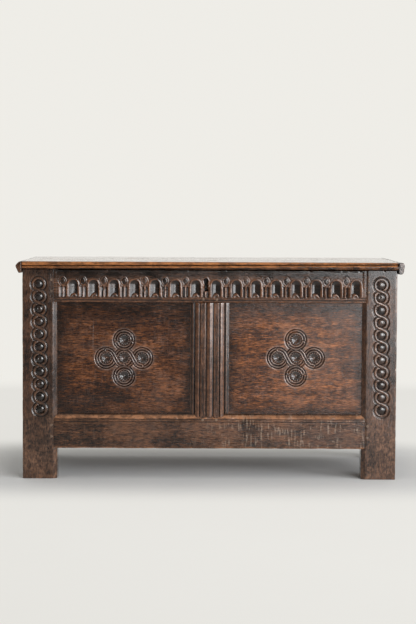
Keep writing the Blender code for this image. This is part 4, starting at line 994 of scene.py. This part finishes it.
def make_frieze_rail():
    """The carved front top rail, fitted over the chamfers and grooved for the panels."""
    section = [
        (RAIL_FOOT, 0, 5, FRIEZE_STEP, "face"), (RAIL_TOP, 0, 1.2, 5), (RAIL_TOP, RAIL_DEPTH, 1.2, 9),
        (RAIL_FOOT, RAIL_DEPTH, 1.0, 5), *panel_groove(RAIL_FOOT, 1, FRONT_GROOVE),
    ]

    def lid_shadow_and_dirt(x, height, depth):
        """Painted shadow under the overhang of the lid and along the gap under it, dark inside the buds,
        and dark wax with painted shade in the scoops.
        """
        patch = 0.65 + 0.6 * noise(x / 40, height / 12, 26)
        # Painted shadow of the lid's overhang on the plain band.
        lid_shadow_and_buds = 0.9 * smooth(height, RAIL_TOP - 36, RAIL_TOP - 12) * patch
        # A painted shadow line in the gap under the lid.
        lid_shadow_and_buds += smooth(height, RAIL_TOP - 7, RAIL_TOP - 4)
        lid_shadow_and_buds = np.maximum(lid_shadow_and_buds, 0.8 * smooth(pillar_place(x, height)[2], 3.2, 4.4)) * (depth < 4)
        across, up, arch = flute_place(x, height)
        # Dark wax with painted shade in the scoops.
        scoop = (1 - smooth(arch, FLUTE_HALF - 2, FLUTE_HALF)) * (lunette_reach(across, up) > LUNETTE)
        return np.clip(np.maximum(lid_shadow_and_buds, scoop * (up > 0) * (depth < 9)), 0, 1)

    def rubbed_rims(x, height, depth):
        """The rims of the flutes and the outlines of the buds, rubbed warmer, and polish in the scoops."""
        _, up, arch = flute_place(x, height)
        beside_flute = np.abs(up - 28) < 30
        rim = 0.8 * bump(arch, FLUTE_HALF + 2, 2) * beside_flute
        outline = 0.9 * bump(pillar_place(x, height)[2], 2, 1.4)
        patch = 0.5 + 0.6 * noise(x / 20, height / 20, 27)
        scoop = (0.12 + 0.45 * smooth(x, -350, 300)) * (arch < FLUTE_HALF) * beside_flute
        return np.maximum(np.maximum(rim, outline) * patch * (depth < 3), scoop)

    timber("carved_frieze_rail", "front_top_rail", FRAME_OAK, "frame_oak", FRONT_RAIL, FRONT_REACH,
           FRIEZE_STEP, section, frieze, warp=over_chamfer, grime=lid_shadow_and_dirt, rubbed=rubbed_rims, seed=21,
           end_round=0.3)


def make_sill_rail():
    """The front bottom rail, with a slope under the panels and a groove for the floor boards behind."""
    groove_floor = RAIL_DEPTH - FLOOR_GROOVE
    section = [
        (SILL_FOOT, 0, 2.5, 1.3, "face"), (SILL_ARRIS, 0, 0.9, 1.6), (SILL_TOP, SLOPE_DEPTH, 0.6, 3),
        *panel_groove(SILL_TOP, -1, FRONT_GROOVE), (SILL_TOP, RAIL_DEPTH, 1.0, 7),
        (FLOOR_TOP + FIT, RAIL_DEPTH, 0, 4), (FLOOR_TOP + FIT, groove_floor, 0, 4),
        (FLOOR_FOOT - FIT, groove_floor, 0, 4), (FLOOR_FOOT - FIT, RAIL_DEPTH, 0, 7),
        (SILL_FOOT, RAIL_DEPTH, 1.2, 8),
    ]

    def rubbed_and_lit_slope(x, height, depth):
        """The slope rubbed pale in uneven patches, most along its lower edge, and painted lighter as it faces
        the light from above; a little rubbed at the foot.
        """
        patch = 0.35 + 0.5 * noise(x / 70, height / 30, 24) + 0.6 * noise(x / 12, height / 6, 28)
        # Painted light as well as wear: the up-facing slope made paler.
        slope = smooth(height, SILL_ARRIS - 1, SILL_ARRIS + 2) * (depth < SLOPE_DEPTH + 1)
        slope *= 1 - 0.6 * smooth(height, SILL_ARRIS + 4, SILL_TOP - 2)
        return patch * np.maximum(slope, 0.2 * bump(height, SILL_FOOT, 6) * (depth < 4))

    def under_panels(x, height, depth):
        """Painted shadow along the top of the slope, where the panels meet it, and the two lines under it
        darkened.
        """
        # Painted shadow where the panels meet the slope.
        top = smooth(height, SILL_TOP - 6, SILL_TOP - 1) * (depth < SLOPE_DEPTH + 2)
        lines = bump(height, SILL_ARRIS - SILL_LINES[0], 1.5) + bump(height, SILL_ARRIS - SILL_LINES[1], 1.4)
        return np.clip(0.9 * top + 0.8 * lines * (depth < 5), 0, 1)

    timber("sloped_sill_rail", "front_bottom_rail", SILL_OAK, "frame_oak", FRONT_RAIL, FRONT_REACH, 5,
           section, sill_lines, warp=over_chamfer, grime=under_panels, rubbed=rubbed_and_lit_slope, seed=22,
           wear=1.8, end_round=0.3)


def make_muntin():
    """The moulded upright between the front panels, with its foot on the slope of the sill."""
    half, edge_depth = MUNTIN_HALF, 12
    section = [
        (-half, edge_depth, 0.5, 0.9, "face"), (half, edge_depth, 0.5, 2),
        *panel_groove(half, -1, FRONT_GROOVE), (half, MUNTIN_DEPTH, 1.0, 6), (-half, MUNTIN_DEPTH, 1.0, 4),
        *panel_groove(-half, 1, FRONT_GROOVE),
    ]
    foot, head = SILL_TOP + FIT, RAIL_FOOT - FIT

    def onto_slope(along, across, depth):
        """Runs the muntin's foot down the slope of the sill, and fades that out up its length."""
        drop = SLOPE_HEIGHT * np.clip(1 - depth / SLOPE_DEPTH, 0, 1)
        return along - drop * (head - along) / (head - foot), across, depth

    def in_quirks(height, x, depth):
        """Dirt and painted shade in the quirks on both sides of the middle bead and beside the edge beads."""
        widths = (2.2, 2.2, 2.0)
        packed = sum(bump(np.abs(x), quirk, width) for quirk, width in zip(QUIRKS, widths))
        return np.clip(packed, 0, 1) * (depth < 14)

    def on_beads(height, x, depth):
        """The beads and rounds, rubbed and waxed in uneven lengths."""
        patch = 0.6 + 0.5 * noise(height / 50, x / 8, 29)
        places = ((5, 4), (36, 4), (52, 3))
        beads = np.max([bump(np.abs(x), middle, width) for middle, width in places], axis=0)
        return 0.8 * beads * patch * (depth < 14)

    timber("moulded_muntin", "front_muntin", FRAME_OAK, "frame_oak", ("Z", "X", "+Y", RAIL_FACE),
           (foot, head), 5, section, muntin_moulding, warp=onto_slope, grime=in_quirks, rubbed=on_beads,
           seed=23, wear=0.6, end_round=0.4, bared=1.0)


def scratch(x, height):
    """A long pale scratch on the left panel, nearly upright and broken by noise."""
    line = bump(x - 0.02 * height, SCRATCH_X, 1.1) * (0.3 + noise(height / 6, 0.0, 49))
    return 0.8 * line * within(height, *SCRATCH_SPAN, 10, 13)


def crack(x, height):
    """A fine level crack on the right panel, that closes at both ends."""
    wander = 2.4 * noise(x / 20, 0.0, 48)
    return bump(height, CRACK_Z + wander, 1.0) * within(x, *CRACK_SPAN, 25, 25)


def panel(name, node, lie, material, seed, carving=None, cluster=(None, None)):
    """A panel: level in front, with its rear bevelled to its edges, and darker along the frame."""
    span, width = extent(node, lie[0]), extent(node, lie[1])

    def margin(along, across):
        """Distance from the edge of the frame round the panel."""
        beside = np.minimum(along - span[0], span[1] - along)
        return np.minimum(beside, np.minimum(across - width[0], width[1] - across)) - GROOVE_DEPTH

    def from_bowl(along, across):
        """Distance from the middle of the nearest of the five roundels."""
        east, north = np.abs(along - cluster[0]), np.abs(across - cluster[1])
        arm = np.hypot(np.maximum(east, north) - ROUNDEL_PITCH, np.minimum(east, north))
        return np.minimum(arm, np.hypot(east, north))

    def rear(along, across):
        """Depth of the rear: edge thickness in the grooves, then an even bevel up to the field."""
        return PANEL_EDGE + PANEL_RISE * np.clip(margin(along, across) / PANEL_BEVEL, 0, 1)

    def front(along, across):
        """The carving, on a face that sinks by slow noise."""
        plain = 0.5 * noise(along / 130, across / 50, seed + 40)
        return plain + carving(along, across) if carving else plain

    def grime(along, across, depth):
        """Darker towards the frame, dying away exponentially, most at the top; dark over the roundels, dark
        wax with painted shade in their bowls, and the crack.
        """
        inside, below = margin(along, across), width[1] - GROOVE_DEPTH - across
        patch = 0.45 + 0.9 * noise(along / 60, across / 30, seed + 44)
        edge = np.exp(-inside / 14) + 0.35 * np.exp(-inside / 60) + 0.7 * np.exp(-below / 40)
        edge = np.clip(edge * patch, 0, 0.9)
        if not carving:
            return edge
        disc = from_bowl(along, across)
        # Dark wax with painted shade in the bowls.
        bowl = within(disc, 2.4, BOWL_RADIUS + 1, 1, 1)
        return np.max([edge, 0.45 * (1 - smooth(disc, 33, 36)), bowl, crack(along, across)], axis=0)

    def scratched(along, across, depth):
        """The scratch on the show face of a carved panel, and the polish in its bowls."""
        bowl = 0.8 * (from_bowl(along, across) < BOWL_RADIUS) * (depth > 1)
        return np.maximum(scratch(along, across) * (depth < 3), bowl)

    def places(span, centre):
        """Coarse places along a span, with fine ones where the carving is."""
        coarse = np.arange(span[0] + 1.2, span[1] - 1, 8)
        if centre is None:
            return coarse
        fine = np.arange(centre - ROUNDELS_REACH, centre + ROUNDELS_REACH, ROUNDEL_STEP)
        return np.sort(np.concatenate([coarse[np.abs(coarse - centre) > ROUNDELS_REACH + 1], fine]))

    section = [
        (width[0], 0, 0.4, places(width, cluster[1]), "face"), (width[1], 0, 0.4, 3),
        (width[1], PANEL_EDGE, 0.4, 8, "rear"), (width[0], PANEL_EDGE, 0.4, 3),
    ]
    timber(name, node, material, "panel_oak", lie, span, places(span, cluster[0]), section, front, rear,
           grime=grime, rubbed=scratched if carving else None, seed=seed, wear=0.3, end_round=0.4, bared=1.0)


def make_panels():
    """Two carved front panels, two plain back ones and one on each side."""
    for hand, seed, oak_in_front in (("left", 31, DARK_AND_SHADED_PANEL_OAK), ("right", 32, PANEL_OAK)):
        front, back, beside = f"front_{hand}_panel", f"back_{hand}_panel", f"{hand}_side_panel"
        panel(f"carved_{hand}_panel", front, ("X", "Z", "+Y", low(front, "Y")), oak_in_front, seed,
              roundels(hand), ROUNDEL_CENTRES[hand])
        panel(f"plain_{back}", back, ("X", "Z", "-Y", high(back, "Y")), BACK_OAK, seed + 4)
        show_face = ("+X", low(beside, "X")) if hand == "left" else ("-X", high(beside, "X"))
        panel(f"plain_{beside}", beside, ("Y", "Z", *show_face), PANEL_OAK, seed + 8)


def make_back_frame():
    """Back stiles, rails and muntin, plain and left dry, grooved for the panels."""
    sides = groove_sides(BACK_Y - high("back_left_panel", "Y"))
    for side, hand, seed in ((-1, "left", 51), (1, "right", 52)):
        section = box_section(sorted((side * BACK_INNER_X, side * OUTER_X)), STILE_DEPTH, 1.8)
        timber(f"back_{hand}_post", f"back_{hand}_stile", FRAME_OAK, "frame_oak", ("Z", "X", "-Y", BACK_Y),
               (0, RIM_Z), 7, section, seed=seed, wear=1.8)

    def grooved(edges, depth, edge_spacing, grooves):
        """Corners of a plain section, with a panel groove in its lower edge, its upper one or both."""
        start, end = edges
        return [
            (start, 0, 1.2, 7, "face"), (end, 0, 1.2, edge_spacing),
            *(panel_groove(end, -1, sides) if "upper" in grooves else []),
            (end, depth, 1.2, 7), (start, depth, 1.2, edge_spacing),
            *(panel_groove(start, 1, sides) if "lower" in grooves else []),
        ]

    span = (-BACK_INNER_X + FIT, BACK_INNER_X - FIT)
    rails = (("top", (RAIL_FOOT, RIM_Z), "lower", 53), ("bottom", (SILL_FOOT, SILL_TOP), "upper", 54))
    for level, edges, grooves, seed in rails:
        section = grooved(edges, RAIL_DEPTH, 6, grooves)
        timber(f"back_{level}_bar", f"back_{level}_rail", BACK_OAK, "frame_oak", ("X", "Z", "-Y", BACK_Y),
               span, 7, section, seed=seed, wear=1.4, end_round=0.5)
    section = grooved((-MUNTIN_HALF, MUNTIN_HALF), MUNTIN_DEPTH, 4, ("lower", "upper"))
    timber("back_upright", "back_muntin", BACK_OAK, "frame_oak", ("Z", "X", "-Y", BACK_Y),
           (SILL_TOP + FIT, RAIL_FOOT - FIT), 7, section, seed=55, end_round=0.5)


BETWEEN_STILES = (FRONT_Y + STILE_DEPTH + FIT, BACK_Y - STILE_DEPTH - FIT)


def make_side_rails():
    """Side rails between the stiles: a square one above and one with a sloped edge below."""
    sides = groove_sides(OUTER_X - high("right_side_panel", "X"))
    depth = SIDE_RAIL_DEPTH
    sections = {
        "top": [
            (RAIL_FOOT, 0, 2.5, 4, "face"), (RIM_Z, 0, 1.4, 6), (RIM_Z, depth, 1.2, 7),
            (RAIL_FOOT, depth, 1.0, 5), *panel_groove(RAIL_FOOT, 1, sides),
        ],
        "bottom": [
            (SILL_FOOT, 0, 2.0, 4, "face"), (SILL_ARRIS, 0, 0.9, 2), (SILL_TOP, SLOPE_DEPTH, 0.6, 3),
            *panel_groove(SILL_TOP, -1, sides), (SILL_TOP, depth, 1.0, 7), (SILL_FOOT, depth, 1.2, 6),
        ],
    }
    for sign, hand, plane, seed in (("+", "left", -OUTER_X, 61), ("-", "right", OUTER_X, 63)):
        for number, (level, section) in enumerate(sections.items()):
            timber(f"{hand}_side_{level}_bar", f"{hand}_side_{level}_rail", FRAME_OAK, "frame_oak",
                   ("Y", "Z", sign + "X", plane), BETWEEN_STILES, 6, section, seed=seed + number,
                   end_round=0.5)


def make_floor_boards():
    """Dry floor boards from front to back; the end ones are notched round the stiles."""
    front, back = BETWEEN_STILES
    for number in range(1, 6):
        node = f"floor_board_{number}"
        edges, span = extent(node, "X"), extent(node, "Y")
        kept, moved = edges[::-1] if number == 1 else edges

        def round_stiles(along, across, depth):
            """Narrows an end board beside the stiles, between its inner edge and the notch."""
            corner = np.where(along < front, INNER_X, np.where(along > back, BACK_INNER_X, np.inf)) - 2 * FIT
            share = np.minimum((np.copysign(corner, moved) - kept) / (moved - kept), 1)
            return along, kept + (across - kept) * share, depth

        ends = [span[0] + 1, front - 0.1, front, back, back + 0.1, span[1] - 1]
        places = np.sort(np.concatenate([ends, np.linspace(front + 4, back - 4, 50)]))
        section = box_section(edges, FLOOR_TOP - FLOOR_FOOT, 0.8)
        timber(f"dry_{node}", node, FLOOR_OAK, "floor_oak", ("Y", "X", "-Z", FLOOR_TOP), span, places,
               section, warp=round_stiles if number in (1, 5) else None, seed=70 + number, end_round=0.6)


def make_pegs():
    """Riven pegs, tapered and roughly faceted, each with a domed head just proud of its joint."""
    nodes = sorted(node for node in frame["nodes"] if node.startswith("peg_"))
    for number, node in enumerate(nodes):
        corner, far_corner = np.array(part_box(node)) / MM
        size, middle = far_corner - corner, (corner + far_corner) / 2
        axis = int(np.argmax(size))
        long, radius = size[axis], np.delete(size, axis).max() / 2
        outward = np.zeros(3)
        outward[axis] = -1.0 if axis == 1 or middle[0] < 0 else 1.0
        profile = [
            (0.66 * radius, -long), (0.98 * radius, -2.4), (0.96 * radius, -0.5), (0.80 * radius, -0.12),
            (0.35 * radius, 0.0),
        ]
        made = turned(middle + outward * long / 2, outward, profile, 11, number + 1, 0.10, worn=0.7)
        piece(f"riven_{node}", [made], PEG_OAK, node)
    rail_joints, muntin_joints = (629.5, 593.5, 170, 134), (570.5, 187.5)
    heads = [(side * (BACK_INNER_X + 13), z) for side in (-1, 1) for z in rail_joints]
    heads += [(side * 21.6, z) for side in (-1, 1) for z in muntin_joints]
    profile = [(3.6, -14), (4.3, -2), (4.2, -0.4), (3.4, -0.1), (1.5, 0.0)]
    shells = [
        turned((x, BACK_Y + 0.5, z), (0, 1, 0), profile, 11, number + 60, 0.12)
        for number, (x, z) in enumerate(heads)
    ]
    piece("back_frame_pegs", shells, PEG_OAK, body="carcase")


# Lid


def make_lid_boards():
    """Three lid boards; the front one has a moulded edge of two rounds with a quirk between them."""
    bottom, end = LID_THICKNESS, LID_HALF - FIT
    front, first_seam = extent("lid_front_board", "Y")
    second_seam, back = extent("lid_back_board", "Y")
    quirk, spring, quirk_width, edge_width = 11.0, 8.2, 2.2, 9
    moulded = [
        (front + edge_width, 0, 3.0, 4, "face"), (first_seam, 0, 1.2, 5), (first_seam, bottom, 1.0, 7),
        (front + 4.5, bottom, 1.0, 1.2), (front, bottom - 3.4, 3.2, 1.0), (front, quirk + 3.6, 2.4, 1.0),
        (front + 6, quirk, 0.5, 1.0), (front + 1, spring, 1.6, 1.0), (front + 2.6, 1.6, 2.0, 1.2),
    ]
    sections = {
        "lid_front_board": moulded,
        "lid_middle_board": box_section((first_seam + FIT, second_seam - FIT), bottom, 1.0, 5),
        "lid_back_board": box_section((second_seam, back), bottom, 2.2, 5),
    }

    def in_quirk(along, across, depth):
        """Painted shade in the quirk of the moulded edge and painted shadow along its lower side, higher to
        the right, and darker at the board ends.
        """
        ragged = 0.7 + 0.5 * noise(along / 20, 0.0, 97)
        # Painted shadow of the lid's overhang along the lower side of its edge.
        under = smooth(depth + 2.5 * smooth(along, 20, 300), bottom - 8, bottom - 4)
        line = np.maximum(bump(depth, quirk, quirk_width), under)
        line = np.maximum(line, smooth(np.abs(along), end - 6, end - 1))
        return np.clip(line * ragged, 0, 1) * (across < front + edge_width)

    def on_edge(along, across, depth):
        """The rounds of the moulded edge, rubbed by hands in uneven lengths."""
        patch = 0.1 + 0.7 * noise(along / 60, depth / 4, 98) + 0.6 * noise(along / 14, depth / 2, 99)
        rounds = (1 - bump(depth, quirk, quirk_width)) * (depth < bottom - 2)
        return patch * rounds * (across < front + edge_width)

    def out_of_level(along, across, depth):
        """The quirk runs out of level: lower at the left end and higher at the right one."""
        share = smooth(depth, 0.5, spring) * (1 - smooth(depth, quirk + 2, bottom - 1))
        return along, across, depth - 3.6 * along / end * share * (across < front + edge_width)

    for number, (node, section) in enumerate(sections.items()):
        def worn_top(along, across):
            """The top sinks by slow noise, and a little more where hands and goods have rubbed it."""
            slow = noise(along / 210, across / 70, 81 + number)
            return 0.3 * slow + 0.6 * noise(along / 17, across / 12, 85 + number) ** 8

        timber(f"worn_{node}", node, LID_OAK, "lid_oak", ("X", "Y", "-Z", LID_TOP), (-end, end), 4, section,
               worn_top, warp=out_of_level, grime=in_quirk, rubbed=on_edge, seed=90 + number, wear=1.3,
               wave=0.06, end_round=0.4)


def make_cleats():
    """Cleats across the lid's ends that hang past the rim: a nosed one left and a squared one right."""
    drop = LID_TOP - low("lid_right_cleat", "Z")
    wide = length("lid_right_cleat", "X")
    nosed = [(5, 0, 2.5, 2), (13.5, 5.6, 3.0, 2), (wide, 15, 2.0, 2.5), (9, drop, 1.6, 3)]
    squared = [(13, 0, 3.0, 2), (wide, 4.6, 3.0, 2), (wide, 20, 4.0, 2.5), (14.5, drop, 2.0, 3)]
    for hand, corners, seed in (("left", nosed, 95), ("right", squared, 96)):
        node = f"lid_{hand}_cleat"
        corners = [(0, 0, 0.3, 3), *corners, (0, drop, 1.0, 5)]
        section = [(LID_HALF + out, *corner) for out, *corner in corners]
        timber(f"worn_{hand}_cleat", node, STILE_OAK, "lid_oak", ("Y", "X", "-Z", LID_TOP),
               extent(node, "Y"), 4, mirrored(section) if hand == "left" else section, seed=seed, wear=1.8,
               end_round=2.0)


# Ironwork


def nail(place, direction, seed, size):
    """A rose-headed nail: a low head of six hammered facets."""
    profile = [(size, -0.8), (size, 0.0), (0.72 * size, 0.9), (0.2 * size, 1.5)]
    return turned(place, direction, profile, 6, seed, 0.25)


def strap(lie, span, middle, widths, seed):
    """A forged strap whose half width follows a function of its length, dimpled on its show face."""
    half = 10

    def taper(along, across, depth):
        """Scales the section's half width to the strap's."""
        return along, middle + across * widths(along) / half, depth

    def hammered(along, across):
        """Dimples by noise of about a finger's breadth, squared so that the ridges stay sharp."""
        return 0.5 * noise(along / 11, across / 9, seed + 7) ** 2

    section = [
        (-half, 0, 0.7, 1.6, "face"), (half, 0, 0.7, 1.2), (half, STRAP_THICKNESS, 0.5, 4),
        (-half, STRAP_THICKNESS, 0.5, 1.2),
    ]
    return board(lie, span, 1.8, section, hammered, warp=taper, seed=seed, wear=0.25, wave=0.1, end_round=0.4)


def strap_widths(tip, root, half):
    """Half width along a strap: a round finial at the tip, then a taper from a neck to the root."""
    finial, neck, least = 13.8, 8.0, 0.6

    def widths(along):
        """Half width at a place along the strap."""
        travel = along - tip
        disc = np.sqrt(np.clip(finial ** 2 - (travel - finial) ** 2, least ** 2, None))
        share = np.clip((travel - 1.8 * finial) / (root - tip - 1.8 * finial), 0, 1)
        return np.where(travel < finial, disc, np.maximum(disc, neck + (half - neck) * share))

    return widths


def make_hinges():
    """Strap hinges: a long strap under the lid, a short one on the back, and the pin through the knuckles."""
    for hand, seed in (("left", 110), ("right", 120)):
        node = f"{hand}_hinge_lid_strap"
        middle, half = sum(extent(node, "X")) / 2, length(node, "X") / 2
        third = half / 3
        lug_half = third - 2 * FIT
        tip, root, under = low(node, "Y"), BACK_Y - 2, RIM_Z - STRAP_THICKNESS
        taper = strap_widths(tip, root, half)

        def with_lug(along):
            """The strap's own width, then the narrow lug that runs on into the middle knuckle."""
            return np.where(along > root, lug_half, taper(along))

        shells = [strap(("Y", "X", "+Z", under), (tip, HINGE_Y), middle, with_lug, seed),
                  knuckle(middle, third - FIT / 2)]
        shells += [nail((middle, tip + share * (root - tip), under), (0, 0, -1), seed + number, 4.6)
                   for number, share in enumerate((0.05, 0.30, 0.55, 0.80))]
        piece(f"forged_{hand}_lid_strap", shells, IRON, node)

        def lug_width(along):
            """The even half width of a lug."""
            return lug_half + 0 * along

        node = f"{hand}_hinge_back_strap"
        tip, neck = low(node, "Z"), HINGE_Z - KNUCKLE_RADIUS - 2
        lie = ("Z", "X", "-Y", BACK_Y + FIT + STRAP_THICKNESS)
        shells = [strap(lie, (tip, neck), middle, strap_widths(tip, neck, half), seed + 3)]
        for way in (-1, 1):
            place = middle + way * 2 * third
            shells.append(strap(lie, (neck - 1, HINGE_Z), place, lug_width, seed + 5 + way))
            shells.append(knuckle(place, third - FIT))
        shells += [nail((middle, lie[3], tip + share * (neck - tip)), (0, 1, 0), seed + 8 + number, 4.0)
                   for number, share in enumerate((0.16, 0.50, 0.84))]
        piece(f"forged_{hand}_back_strap", shells, IRON, node)

        node = f"{hand}_hinge_pin"
        end, head, head_edge = length(node, "X") / 2, 3.7, 2.6
        profile = [(head_edge, -end), (head, 0.6 - end), (head, 2 - end), (PIN_RADIUS, 2 - end)]
        profile += [(radius, -height) for radius, height in profile[::-1]]
        pin = turned((middle, HINGE_Y, HINGE_Z), (1, 0, 0), profile, 18, seed, 0.03)
        piece(f"forged_{hand}_pin", [pin], IRON, node)


def make_lock():
    """The lock's case, bolt and staple keep their solids, with eased edges, and the plate gets its nails."""
    for node in ("lock_case", "lock_bolt", "lid_staple"):
        solid = frame["nodes"][node]
        solid.data.materials[0] = IRON
        weld = solid.modifiers.new("Weld", "WELD")
        weld.merge_threshold = 0.01 * MM
        ease = solid.modifiers.new("Ease", "BEVEL")
        ease.width = 0.5 * MM
        ease.segments = 2
        ease.limit_method = "ANGLE"
    (left, right), (face, _), (foot, head) = (extent("lock_case", axis) for axis in "XYZ")
    places = [(x, face + 2.5, z) for x in (left + 6, right - 6) for z in (foot + 6, head - 8)]
    shells = [nail(place, (0, 1, 0), 130 + number, 4.0) for number, place in enumerate(places)]
    piece("lock_plate_nails", shells, IRON, body="carcase")


# Studio, in metres

CAMERA_PLACE = Vector((-0.0331, -5.4122, 0.8543))
CAMERA_PITCH, CAMERA_YAW, CAMERA_ROLL = 0.06267, -0.00528, 0.00468
CAMERA_LENS = 94.85
PAPER = (0.86, 0.845, 0.80, 1)
BEAM = math.radians(60)


def make_camera():
    """The camera at the photograph's angle: rolled about its own view, pitched down, then turned."""
    data = bpy.data.cameras.new("camera")
    data.lens = CAMERA_LENS
    made = set_out("camera", data)
    tilt = Matrix.Rotation(math.pi / 2 - CAMERA_PITCH, 4, "X") @ Matrix.Rotation(CAMERA_ROLL, 4, "Z")
    made.matrix_world = Matrix.Translation(CAMERA_PLACE) @ Matrix.Rotation(CAMERA_YAW, 4, "Z") @ tilt
    bpy.context.scene.camera = made


def make_floor():
    """A round pale floor that fades into the background away from the coffer."""
    rings, around, reach = 48, 96, 12.0
    radius = (reach * (np.arange(1, rings + 1) / rings) ** 2)[:, None]
    angle = (np.arange(around) * 2 * math.pi / around)[None, :]
    points = np.stack([radius * np.cos(angle), radius * np.sin(angle), 0 * radius * angle], axis=-1)
    quads, caps = ring_faces(rings, around, True)
    mesh = bpy.data.meshes.new("floor")
    mesh.from_pydata(points.reshape(-1, 3).tolist(), [], quads[:, ::-1].tolist() + [caps[0][::-1].tolist()])
    mesh.update()
    set_out("floor", mesh)
    paint, tree, shader, position = empty_material("pale_floor")
    smudge = cloud(tree, position, (3, 3, 3), 5, 0.6)
    feed(tree, shader, {
        "Base Color": mix(tree, smudge, (0.74, 0.745, 0.75, 1), (0.84, 0.845, 0.85, 1)), "Roughness": 0.75,
    })
    beside = vector_maths(tree, "ABSOLUTE", position)[0]
    beside = vector_maths(tree, "SUBTRACT", beside, (OUTER_X * MM, BACK_Y * MM, 0))[0]
    beside = vector_maths(tree, "MAXIMUM", beside, (0, 0, 0))[0]
    away = vector_maths(tree, "LENGTH", beside)["Value"]
    light_path = add_node(tree, "ShaderNodeLightPath").outputs
    back = spread(tree, add_node(tree, "ShaderNodeSeparateXYZ", {0: position}).outputs["Y"], -1.0, 0.4)
    reflected = maths(tree, "MAXIMUM", light_path["Is Glossy Ray"], light_path["Is Transmission Ray"])
    seen = maths(tree, "MAXIMUM", light_path["Is Camera Ray"], times(tree, reflected, back))
    near, far = spread(tree, away, 0.03, 0.45, 0.0, 0.80), spread(tree, away, 0.8, 2.6)
    fade = times(tree, maths(tree, "MAXIMUM", near, far), seen)
    glow = add_node(tree, "ShaderNodeEmission", {"Color": PAPER, "Strength": 1.0}).outputs[0]
    blend = add_node(tree, "ShaderNodeMixShader", {0: fade, 1: shader.outputs[0], 2: glow})
    feed(tree, tree.nodes["Material Output"], {"Surface": blend.outputs[0]})
    mesh.materials.append(paint)


def make_light(name, place, target, size, power, tint):
    """A soft light that faces a point, with a beam that leaves the floor in front of it dim."""
    data = bpy.data.lights.new(name, "AREA")
    data.shape = "RECTANGLE"
    data.size, data.size_y = size
    data.energy = power
    data.spread = BEAM
    data.color = tint
    aim = (Vector(target) - Vector(place)).to_track_quat("-Z", "Y").to_matrix().to_4x4()
    set_out(name, data).matrix_world = Matrix.Translation(Vector(place)) @ aim


def make_studio():
    """Camera, floor, a pale backdrop and ceiling, and soft lights from the front right and the right."""
    make_camera()
    make_floor()
    world = bpy.data.worlds.new("studio")
    bpy.context.scene.world = world
    world.use_nodes = True
    tree = world.node_tree
    light_path = add_node(tree, "ShaderNodeLightPath").outputs
    seen = maths(tree, "MAXIMUM", light_path["Is Camera Ray"], light_path["Is Transmission Ray"])
    way = add_node(tree, "ShaderNodeTexCoord").outputs["Object"]
    way = add_node(tree, "ShaderNodeSeparateXYZ", {0: way}).outputs
    ceiling = spread(tree, way["Z"], 0.05, 0.9, 0.10, 0.72)
    reflected = times(tree, spread(tree, way["Y"], 0.1, 0.7), light_path["Is Glossy Ray"])
    level = maths(tree, "MAXIMUM", ceiling, maths(tree, "MAXIMUM", reflected, seen))
    feed(tree, tree.nodes["Background"], {"Color": PAPER, "Strength": level})
    make_light("front_window", (1.70, -4.32, 1.10), (0.10, -0.2, 0.42), (1.9, 2.1), 20, (0.98, 0.99, 1.0))
    make_light("side_window", (3.50, -2.54, 1.10), (0.15, -0.2, 0.42), (2.7, 2.1), 20, (0.96, 0.98, 1.0))
    bpy.context.scene.view_settings.view_transform = "Standard"


make_front_stiles()
make_frieze_rail()
make_sill_rail()
make_muntin()
make_panels()
make_back_frame()
make_side_rails()
make_floor_boards()
make_pegs()
make_lid_boards()
make_cleats()
make_hinges()
make_lock()
make_studio()
